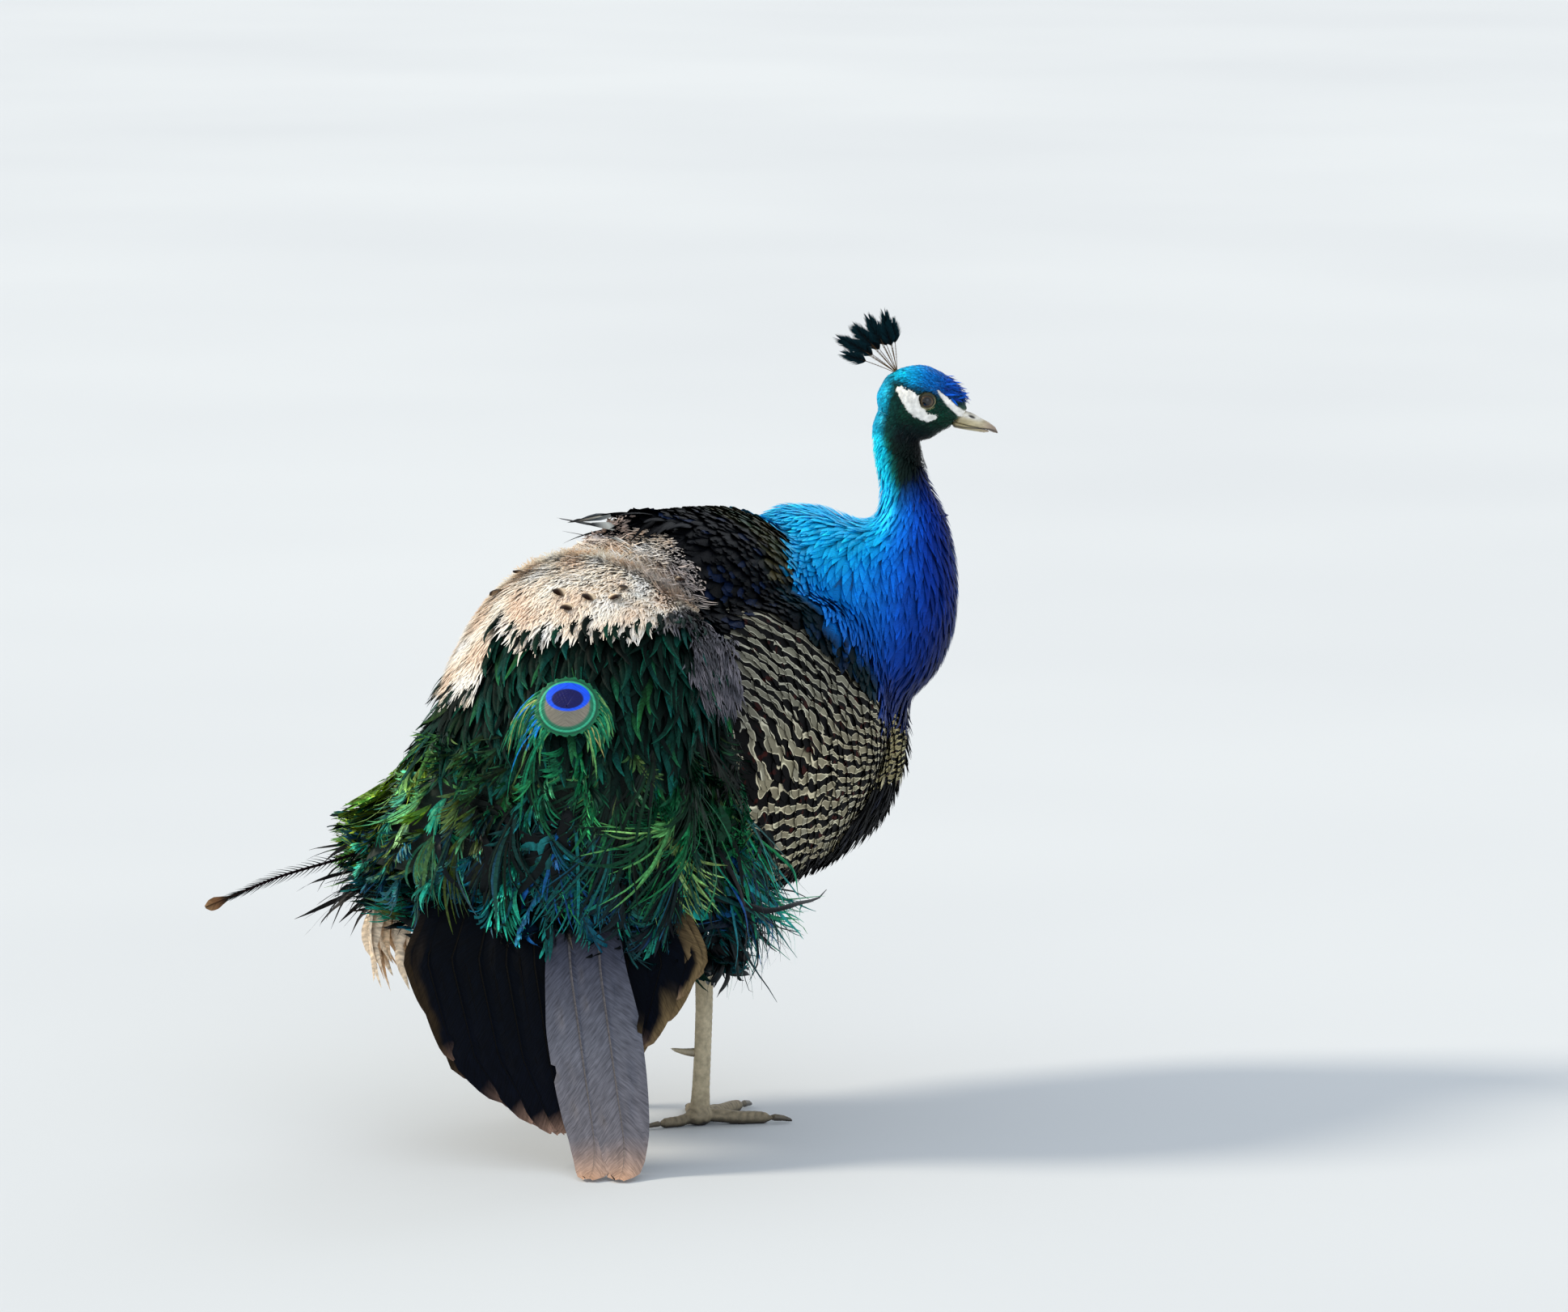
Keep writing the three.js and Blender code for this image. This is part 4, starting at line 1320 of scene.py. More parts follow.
@dataclass
class Skin:
    """One skin over all the flesh, with a finer face, and the guide the coat lies on."""

    voxel: float = 4.5
    head_voxel: float = 1.25
    leg_voxel: float = 1.05
    rounds: int = 26

    def guide(self) -> Surface:
        """Returns the smooth outline of the plumage, from the CAD nodes."""
        skirt = node_mesh("train_skirt")
        for place, way in (((0, 0, 212), (0, 0, -1)), ((0, 66, 0), (0, -1, 0)), ((150, 0, 0), (1, 0, 0)),
                           ((-150, 0, 0), (-1, 0, 0))):
            skirt = cut_away(*skirt, place, way)
        points, faces = voxel_shell([*(node_mesh(name) for name in FLESH), skirt], self.voxel)
        points = relax(points, faces, self.rounds, 0.5 * (1 - 0.82 * smooth(455, 500, points[:, 2])))
        valley = hump(points[:, 1], 48, 30) * smooth(395, 430, points[:, 2])
        return Surface(relax(points, faces, 60, 0.5 * valley), faces)

    def head(self) -> Surface:
        """Returns the head and upper neck at a size that shows the lids and the cheek's edge."""
        smooth_head = melted(("head", "neck_upper"), self.head_voxel, 9)
        local = LOOK.from_head(smooth_head.points)
        a, z, marks = local[:, 0], local[:, 2], FACE.marks(local)
        socket = 1.5 * hump(np.maximum(marks["eye"] + 2.5, 0), 0, 2.6)
        puff = 0.9 * smooth(0.8, -1.6, marks["cheek"]) + 0.6 * smooth(0.8, -1.2, marks["brow"])
        ripple = 0.22 * np.sin(a * 2.1 + 1.2 * np.sin(z * 1.3)) * smooth(0, -1.5, marks["cheek"])
        jaw = 0.8 * hump(near_line(local[:, [0, 2]], ((37, -11, 0), (22, -13, 0), (12, -18, 0))), 0, 1.4)
        nape = 5.0 * hump(a, -27, 9) * hump(z, -10, 15) + 3.4 * hump(a, -24, 10) * hump(z, -19, 7)
        lift = puff + ripple + nape - socket - jaw * (np.abs(local[:, 1]) > 4)
        return Surface(smooth_head.points + smooth_head.normals * lift[:, None], smooth_head.faces)

    def depth(self, p: Array, n: Array) -> Array:
        """Returns how deep the skin lies under the plumage at each place."""
        depths = {Plumage.BLUE: 4.5, Plumage.HERL: 11.0, Plumage.SCALES: 11.0, Plumage.BARRED: 5.0}
        deep = np.array([depths.get(kind, 7.0) for kind in Plumage])[MARKINGS.kind(p, n)]
        return np.where(p[:, 2] > 490, 3.0, deep)

    def lids(self, side: int) -> tuple[Array, Array, Array]:
        """Makes the two lids round one eye as a rolled shell with an almond opening.

        Args:
            side: RIGHT or LEFT.
        Returns:
            The corners in the head frame, the triangles and the dyes.
        """
        rings, spokes = 9, 56
        turn = np.linspace(0, 2 * math.pi, spokes, endpoint=False)
        reach = np.linspace(0, 1, rings)[:, None]
        opening = np.radians(47 - 8 * np.abs(np.sin(turn)) ** 1.6 * np.where(np.sin(turn) > 0, 1.35, 0.8))
        opening = opening + np.radians(4) * np.maximum(np.cos(turn), 0) ** 6
        angle = opening + reach * (np.radians(96) - opening)
        roll = 0.34 * hump(reach, 0.16, 0.13) + 0.22 * hump(reach, 0.55, 0.1)
        radius = EYE_RADIUS + 0.34 + roll - 0.3 * hump(reach, 0, 0.05)
        out, wide = np.cos(angle) * radius, np.sin(angle) * radius
        points = np.stack([wide * np.cos(turn), side * out, wide * np.sin(turn)], axis=-1)
        points = points.reshape(-1, 3) + [EYE_PLACE[0], side * EYE_PLACE[1], EYE_PLACE[2]]
        quads = ring_quads(rings, spokes)[:, ::side]
        shade = np.repeat(reach, spokes)
        dyed = shades([(0, "#1c1a12"), (0.1, "#1e1c12"), (0.2, "#3c3a22"), (0.6, "#4c4a2c"), (1, "#2c3020")],
                      shade)
        light = shades([(0, "#1c1a12"), (0.1, "#4c4830"), (0.25, "#bcb488"), (0.7, "#d0c8a0"),
                        (1, "#7c7850")], shade)
        dyed = mix(dyed, light, np.tile(smooth(-0.3, 0.9, np.cos(turn + 0.9)), rings)[:, None])
        return LOOK.on_head(points), np.concatenate([quads[:, [0, 1, 2]], quads[:, [0, 2, 3]]]), dyed

    def legs(self) -> tuple[Array, Array, Array]:
        """Makes the bare legs with their plates.

        Returns:
            The corners, triangles and dyes of both legs.
        """
        legs = melted(LEGS, self.leg_voxel, 4, 0.4)
        n = legs.normals
        points = legs.points + n * 0.5
        z = points[:, 2]
        soles = [(np.add(*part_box(f"foot_{side}")) / 2 - ORIGIN)[:2] / MM for side in ("right", "left")]
        reach = np.linalg.norm(points[:, :2] - np.where(points[:, :1] < 15, *soles), axis=1)
        shank = smooth(20, 34, z)
        plate = np.abs(np.sin(np.where(shank > 0.5, z / 5.2, reach / 4.6) * math.pi)) ** 0.45
        forward = np.clip(-(n[:, :2] @ [0.2, 0.98]), 0, 1) * shank + np.clip(n[:, 2], 0, 1) * (1 - shank)
        plated = smooth(0.1, 0.6, forward)
        pebbles = 0.16 * np.sin(points @ [2.6, 1.1, 0.4]) * np.sin(points @ [-0.7, 1.4, 2.4])
        lift = 0.55 * (plate - 1) * plated + pebbles * (1 - plated)
        points = points + n * (lift * smooth(0.4, 2.0, z))[:, None]
        points[:, 2] = np.maximum(points[:, 2], 0.05)
        # The darkest stop, at the floor, is painted shade under the feet; the tan above is the legs' own
        # colour.
        dyed = shades([(0, "#4e4636"), (8, "#8c7f66"), (30, "#b0a284"), (90, "#bcae90"), (150, "#9c8e70")], z)
        dyed = dyed * mix(0.55, 1.06, plate * plated + 1 - plated)[:, None]
        # Painted shade: dark brown on the downward faces near the floor.
        return points, legs.faces, tinted(dyed, "#1d1712", smooth(-0.2, -0.8, n[:, 2]) * (z < 16))

    def build(self, guide: Surface, head: Surface) -> None:
        """Makes the skin, in place of all the nodes of flesh.

        Args:
            guide: The plumage's outline.
            head: The fine head.
        """
        deep = self.depth(guide.points, guide.normals)
        body = relax(guide.points - guide.normals * deep[:, None], guide.faces, 4, 0.5)
        body = np.where(body[:, 2:] > 540, body - guide.normals * 2.5, body)
        pale = MARKINGS.kind(guide.points, guide.normals) == Plumage.DOWN.value
        # The skin takes the plumage's colour darkened to 60 %, 95 % under the down: painted shade in the gaps
        # between feathers.
        trunk = trunk_dye_and_light(guide.points, guide.normals) * np.where(pale, 0.95, 0.6)[:, None]
        local = LOOK.from_head(head.points)
        below = smooth(-36, -52, local[:, 2] + 0.35 * local[:, 0])
        fine = head.points - head.normals * (np.where(FACE.bare(local), 0.25, 0.9) + 5 * below)[:, None]
        head_dye_and_light = mix(neck_dye_and_light(head.points), FACE.skin_dye(local), smooth(-38, -24, local[:, 2])[:, None])
        parts = [(body, guide.faces, trunk), (fine, head.faces, head_dye_and_light), self.legs(), self.lids(RIGHT),
                 self.lids(LEFT)]
        points, faces = joined([part[:2] for part in parts])
        values = {"tint": np.concatenate([dyed for _, _, dyed in parts])}
        skin = make_piece("skin", points, faces, Finish.SKIN, values)
        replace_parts(skin, *FLESH, *LEGS)


# ---- head --------------------------------------------------------------------------------


@dataclass
class Horn:
    """The bill, spurs and claws: the CAD solids, melted smooth and grown a little rough."""

    voxel: float = 0.55
    claw_voxel: float = 0.5
    bury: float = 6.0

    def bill(self, name: str) -> None:
        """Makes one half of the bill, in place of the CAD node of that name.

        Args:
            name: Its name.
        """
        half = melted((name,), self.voxel, 5)
        local = LOOK.from_head(half.points)
        a, z = local[:, 0], local[:, 2]
        nostril = np.hypot((a - 45.5) / 4.2, (z + 3.4 + 0.15 * (a - 45)) / 1.5)
        dent = 0.9 * smooth(1.1, 0.3, nostril) - 0.35 * hump(nostril, 1.35, 0.3)
        grow = 0.07 * np.sin(a * 2.4 + 0.8 * np.sin(z * 2)) * smooth(48, 60, a)
        points = half.points - half.normals * (dent * (name == "bill_upper") - grow)[:, None]
        dyed = shades([(30, "#8a7c58"), (40, "#b3a478"), (52, "#c2b48c"), (62, "#a8937c"), (71, "#8f7c6e")],
                      a)
        top = smooth(-3.4, -0.6, z + 0.16 * (a - 45)) * smooth(36, 40, a)
        dyed = tinted(dyed, "#6c645c", top * smooth(60, 52, a))
        # Painted highlight: a near-white line along the upper bill.
        dyed = tinted(dyed, "#f2eee2", 0.9 * (hump(z + 3.6 + 0.06 * (a - 42), 0, 2.2) * smooth(57, 50, a)))
        dyed = tinted(dyed, "#1c1512", smooth(1.0, 0.4, nostril) * (name == "bill_upper"))
        gape = np.interp(a, [34, 39, 62, 72], [-14.5, -14, -10.6, -12])
        dyed = tinted(dyed, "#231a14", hump(z - gape, 0, 0.8) * 0.85)
        piece = make_piece(name + "_horn", points, half.faces, Finish.BILL, {"tint": dyed})
        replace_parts(piece, name)

    def claw(self, name: str) -> None:
        """Makes one claw or spur, in place of the CAD node of that name.

        Args:
            name: Its name.
        """
        shape = melted((name,), self.claw_voxel, 3, 0.4)
        points, faces = shape.points, shape.faces
        joint = (np.add(*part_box("foot_" + name.rsplit("_", 1)[1])) / 2 - ORIGIN) / MM
        joint[2] = points[:, 2].mean()
        axis = unit(points.mean(0) - joint)
        along = (points - joint) @ axis
        points = points - axis * (self.bury * (along.max() - along) / np.ptp(along))[:, None]
        ring = 0.06 * np.sin(np.linalg.norm(points - points.mean(0), axis=1) * 3.2) + 0.3
        points = points + Surface(points, faces).normals * ring[:, None]
        points[:, 2] = np.maximum(points[:, 2], 0.05)
        rise = smooth(points[:, 2].min(), points[:, 2].max() + 0.01, points[:, 2])
        dark, light = ("#6d6250", "#b9ab8c") if name.startswith("spur") else ("#2c2620", "#6a604c")
        dyed = mix(dye(dark), dye(light), rise[:, None])
        piece = make_piece(name + "_horn", points, faces, Finish.CLAW, {"tint": dyed})
        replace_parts(piece, name)

    def build(self) -> None:
        """Makes both halves of the bill, the spurs and the eight claws."""
        for name in ("bill_upper", "bill_lower"):
            self.bill(name)
        for side in ("right", "left"):
            for kind in ("spur", "claw_outer", "claw_middle", "claw_inner", "claw_hind"):
                self.claw(f"{kind}_{side}")


@dataclass
class Eye:
    """An eyeball whose cornea bulges, with its rings facing out and a little ahead."""

    rings: int = 40
    spokes: int = 64
    bulge: float = 0.55

    def build(self, side: int) -> None:
        """Makes the eye on that side, RIGHT or LEFT.

        Args:
            side: RIGHT or LEFT.
        """
        angle = np.linspace(0, math.pi, self.rings)[:, None]
        turn = np.linspace(0, 2 * math.pi, self.spokes, endpoint=False)
        radius = EYE_RADIUS - 0.12 + self.bulge * smooth(0.62, 0.1, angle)
        out, wide = np.cos(angle) * radius, np.sin(angle) * radius
        parts = np.broadcast_arrays(wide * np.cos(turn), side * out, wide * np.sin(turn))
        local = np.stack(parts, axis=-1).reshape(-1, 3)
        back = np.where(local[:, 1] * side < 0, 9.0, 0.0)
        spot = np.stack([local[:, 0] + back, local[:, 2], local[:, 1]], axis=1)
        points = LOOK.on_head(local + [EYE_PLACE[0], side * EYE_PLACE[1], EYE_PLACE[2]])
        quads = ring_quads(self.rings, self.spokes)[:, ::side]
        name = "right" if side == RIGHT else "left"
        piece = make_piece(f"eyeball_{name}", points, quads, Finish.EYE, {"spot": spot})
        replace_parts(piece, f"eye_{name}")


@dataclass
class HeadCoat(Plumes):
    """The head's scale-like tufts, the smallest on the bird, and the ragged ones on the brow."""

    gap: float = 1.35
    length: float = 5.0
    width: float = 1.0
    foot: float = -46.0

    def build(self) -> None:
        """Makes the head's coat."""
        rng = self.rng
        coat = Coat("coat_head", rng)

        def feathered(p: Array, n: Array) -> Array:
            """Returns which places are feathered head."""
            local = LOOK.from_head(p)
            return ~FACE.bare(local) & (local[:, 2] + 0.35 * local[:, 0] > self.foot)

        roots, normals = self.sow(self.gap, feathered)
        local = LOOK.from_head(roots)
        many = len(roots)
        size = 0.72 + 0.5 * smooth(6, -30, local[:, 0]) + 0.35 * smooth(14, 28, local[:, 2])
        length = self.length * size * rng.uniform(0.8, 1.25, many)
        edge = np.min(list(FACE.marks(local).values()), axis=0)
        length = length * mix(0.5, 1.0, smooth(0, 4, edge))
        spine, outward = self.lay(roots, normals, length, 4, rng.normal(0, 0.2, many), 0.7, 0.45)
        dyed = jitter(FACE.feather_dye(LOOK.from_head(spine[:, 1])), 0.22, rng)
        dyed = mix(jitter(neck_dye_and_light(roots), 0.2, rng), dyed, smooth(-38, -24, local[:, 2])[:, None])
        # Each tuft darkens towards its root, painted shade where the tufts overlap, and lightens at the tip.
        coat.add(spine, outward, self.width * size * rng.uniform(0.8, 1.2, many), leaf,
                 ramp(dyed * 0.55, dyed * 1.15, 4), 3, 0.25, 0.15)
        self.brow(coat)
        coat.piece(Finish.VELVET, "neck_feather")

    def brow(self, coat: Coat) -> None:
        """Adds to the coat the longer ragged tufts that stand over the bill's root.

        Args:
            coat: The coat that takes them.
        """
        rng, rows = self.rng, 5

        def over_bill(p: Array, n: Array) -> Array:
            """Returns which places are the front of the crown."""
            local = LOOK.from_head(p)
            return (local[:, 0] > 16) & (local[:, 2] > 6 + 0.1 * local[:, 0]) & ~FACE.bare(local)

        roots, normals = self.sow(2.3, over_bill)
        many, local = len(roots), LOOK.from_head(roots)
        way = np.stack([np.full(many, 0.9), local[:, 1] * 0.02, 0.25 - 0.02 * (local[:, 0] - 16)], axis=1)
        way = unit(way + rng.normal(0, 0.22, way.shape)) @ LOOK.head_axes()
        way = unit(way - 0.7 * (way * normals).sum(1, keepdims=True) * normals)
        t, length = steps(rows), (5 + 5 * rng.random(many))[:, None, None]
        spine = roots[:, None] + way[:, None] * length * t + normals[:, None] * (1.1 * t**0.7 - 0.5)
        dyed = jitter(shades([(0, "#0a5cc8"), (1, "#062a7c")], rng.random(many)), 0.3, rng)
        # Darker at the root: painted shade where the tufts overlap.
        tint = ramp(dyed * 0.7, dyed * 1.2, rows)
        coat.add(spine, held(normals, rows), 0.9 + 0.5 * rng.random(many), lance, tint)


@dataclass
class Crest(Plumes):
    """The fan of bare shafts with small barbed fans at their tips."""

    root: tuple[float, float, float] = (-23.0, 0.0, 17.0)
    shafts: int = 13
    first: float = 104.0
    last: float = 166.0
    length: float = 47.0
    lean: float = 4.0
    rows: int = 10

    def build(self) -> None:
        """Makes the crest in place of its CAD node, its shafts and its fans."""
        shafts, fans = Coat("crest_shafts", self.rng), Coat("crest_fans", self.rng)
        t = np.linspace(0, 1, self.rows)[:, None]
        out = np.tile(LOOK.head_axes()[1], (self.rows, 1))
        tan = ramp(dye("#8c6838")[None], dye("#2c241c")[None], self.rows, 0.8)
        for i in range(self.shafts):
            share = i / (self.shafts - 1)
            angle = math.radians(mix(self.first, self.last, share + 0.04 * math.sin(i * 2.2)))
            long = self.length * (0.84 + 0.16 * share + 0.13 * math.sin(i * 1.9))
            way = np.array([math.cos(angle), self.lean * math.sin(i * 2.4) / long, math.sin(angle)])
            over = np.array([-math.sin(angle), 0, math.cos(angle)])
            spine = np.array(self.root) + t * way * long + t**2 * over * 3.0
            spine[:, 1] += 1.2 * math.sin(i * 1.3)
            line = LOOK.on_head(spine)
            shafts.quill(line, out, 0.3, 0.4, tan, math.pi / 3)
            shafts.barbs(line[3:7], out[3:7], 1.5, 7, ("#6c5030", "#3c3024"), 0.12)
            fans.barbs(line[6:], out[6:], 7.6, 34, ("#04080c", "#0a2c34"), 0.6)
        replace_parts(shafts.piece(Finish.FLUFF, "neck_feather"), "crest")
        fans.piece(Finish.SATIN, "neck_feather")


# ---- trunk -------------------------------------------------------------------------------


def only(*kinds: Plumage) -> Field:
    """Returns a test for places that carry one of these kinds of plumage, with soft borders."""
    wanted = [kind.value for kind in kinds]

    def test(p: Array, n: Array) -> Array:
        """Returns which places carry it."""
        strayed = p + 5 * np.stack([wobble(p, 17, 3.0), wobble(p, 15, 5.0), wobble(p, 16, 7.0)], axis=1)
        return np.isin(MARKINGS.kind(strayed + LIE.at(p, n) * 7, n), wanted)

    return test


def stops_at(spine: Array, outward: Array, row: int, *kinds: Plumage) -> Array:
    """Returns which feathers don't reach over these kinds of plumage at one of their rows."""
    return ~np.isin(MARKINGS.kind(spine[:, row], outward[:, row]), [kind.value for kind in kinds])


@dataclass
class NeckCoat(Plumes):
    """Silky pointed feathers over neck, hump and breast, small above and larger below."""

    rows: int = 5

    def build(self) -> None:
        """Makes the blue coat."""
        rng = self.rng
        coat = Coat("coat_neck", rng)
        blue = only(Plumage.BLUE)

        def below_head(p: Array, n: Array) -> Array:
            """Returns which places are blue and below the head."""
            local = LOOK.from_head(p)
            return blue(p, n) & (local[:, 2] + 0.35 * local[:, 0] < -28)

        roots, normals = self.sow(lambda p, n: mix(4.9, 2.6, smooth(430, 540, p[:, 2])), below_head)
        many, z = len(roots), roots[:, 2]
        high = smooth(430, 540, z)
        length = mix(25.0, 11.0, high) * rng.uniform(0.85, 1.2, many)
        width = mix(4.0, 1.7, high) * rng.uniform(0.85, 1.15, many)
        stray, proud = rng.normal(0, 0.13, many), mix(1.3, 0.7, high)
        spine, outward = self.lay(roots, normals, length, self.rows, stray, 3.4, proud, 0.85)
        base = jitter(neck_dye_and_light(spine[:, 1]), 0.14, rng)
        tip = jitter(neck_dye_and_light(spine[:, 3]), 0.2, rng)
        right = smooth(-20, 30, LOOK.local(roots)[:, 1] - 130) * smooth(340, 400, z) * (z < 470)
        tip = tinted(tip, "#3aa0f4", right * (rng.random(many) < 0.35) * 0.5)
        # Darker at the root: painted shade where the feathers overlap.
        coat.add(spine, outward, width, lance, ramp(base * 0.75, tip * 1.12, self.rows), 3, 0.2, 0.35)
        coat.piece(Finish.VELVET, "neck_feather")


@dataclass
class BackCoat(Plumes):
    """Broad glossy feathers: the band of painted shadow, the bronze mantle and the raised black dome."""

    gap: float = 5.6
    length: float = 33.0
    width: float = 7.6
    rows: int = 7
    edge_feathers: int = 70
    plume_width: float = 4.6

    def build(self) -> None:
        """Makes the back's pieces."""
        dark, scaly = Coat("coat_dome", self.rng), Coat("coat_mantle", self.rng)
        self.cover(dark, (Plumage.DOME, Plumage.BAND), 1.0)
        self.cover(scaly, (Plumage.MANTLE,), 0.8)
        self.ragged(dark)
        dark.piece(Finish.SATIN, "back_feather")
        scaly.piece(Finish.SCALY, "back_feather")
        self.plumes()

    def cover(self, coat: Coat, kinds: Sequence[Plumage], size: float) -> None:
        """Adds the broad feathers, none of which reaches over the down or the wing.

        Args:
            coat: What they are added to.
            kinds: The plumage that they make.
            size: Their size, as a share of the largest.
        """
        rng = self.rng
        roots, normals = self.sow(self.gap * size, only(*kinds))
        many = len(roots)
        length = self.length * size * rng.uniform(0.85, 1.2, many)
        rear = smooth(-30, 5, roots[:, 1]) * (MARKINGS.kind(roots, normals) == Plumage.DOME.value)
        proud = 2.0 + 3.0 * rear * rng.random(many)
        length = length * (1 + 0.5 * rear * rng.random(many))
        spine, outward = self.lay(roots, normals, length, self.rows, rng.normal(0, 0.16, many), 6, proud)
        free = stops_at(spine, outward, 4, Plumage.GREY_DOWN, Plumage.BARRED)
        spine, outward, roots, normals = spine[free], outward[free], roots[free], normals[free]
        many = len(roots)
        dyed = jitter(trunk_dye_and_light(roots, normals), 0.3, rng)
        tip = jitter(trunk_dye_and_light(spine[:, 4], outward[:, 4]), 0.2, rng)
        # Painted sheen: one tip in eight takes a blue cast.
        tip = np.where((rng.random(many) < 0.12)[:, None], tip + dye("#0a1c3c") * 0.6, tip)
        if Plumage.MANTLE in kinds:
            tip = tinted(dyed, "#54502c", 0.4 * rng.random(many))
        else:
            tip = np.where(np.linalg.norm(tip, axis=1, keepdims=True) < 0.12, tip, dyed)
        # Darker at the root: painted shade where the feathers overlap.
        coat.add(spine, outward, self.width * size * rng.uniform(0.85, 1.15, many), leaf,
                 ramp(dyed * 0.8, tip * 1.1, self.rows), 5, 0.22, 1.0, 0.4, 0.06)

    def ragged(self, coat: Coat) -> None:
        """Adds to the coat the long ragged feathers that leave the dome's back edge.

        Args:
            coat: The coat that takes them.
        """
        rng, many, rows = self.rng, self.edge_feathers, 9
        x = rng.uniform(-70, 88, many)
        back = np.interp(np.abs(x), *MARKINGS.dome_back) - rng.uniform(14, 44, many)
        roots, normals = self.ground.nearest(np.stack([x, back, np.where(np.abs(x) > 60, 480, 505)], axis=1))
        t, length = steps(rows), rng.uniform(38, 62, many)[:, None, None]
        way = LIE.at(roots, normals)
        lift = unit(way + normals * rng.uniform(0.02, 0.2, (many, 1)) + rng.normal(0, 0.1, (many, 3)))
        sag = np.array([0, 0.2, -1.0]) * (t**2) * length * 0.22
        spine = roots[:, None] - normals[:, None] * 4 + lift[:, None] * t * length + sag
        dyed = jitter(np.tile(dye("#050609"), (many, 1)), 0.4, rng)
        coat.add(spine, held(normals, rows), rng.uniform(3.2, 6.5, many), lance, ramp(dyed, dyed * 1.3, rows),
                 5, 0.2, 1.6, 0.5, 0.16)

    def plumes(self) -> None:
        """Makes the few grey and white plumes, black at the tip, that rise from the dome."""
        coat = Coat("back_plumes", self.rng)
        rows = 10
        t = steps(rows)
        for x, y, long, lean, pale in ((24, 14, 54, 0.5, 0.4), (14, 20, 46, 0.3, 0.9), (4, 16, 50, 0.15, 0.7),
                                       (34, 6, 44, 0.6, 0.1), (-6, 22, 38, 0.1, 1.0),
                                       (20, 26, 40, 0.45, 0.2)):
            root, normal = self.ground.nearest(np.array([[x, y, 500.0]]))
            way, long = unit(np.array([[lean, 0.85, 0.06]])), long * 0.86
            spine = root[:, None] - normal[:, None] * 5 + way[:, None] * t * long + normal[:, None] * t * 7
            tint = shades([(0, "#8d8f8a"), (0.35, "#dcdcd2" if pale > 0.5 else "#565c60"), (0.72, "#3c3f42"),
                           (0.85, "#08080a"), (1, "#050506")], t[0, :, 0])[None]
            coat.add(spine, held(normal, rows), np.array([self.plume_width]), lance, tint, 7, 0.25, 1.4, 0.7,
                     0.12)
        coat.piece(Finish.DOWN, "back_feather")


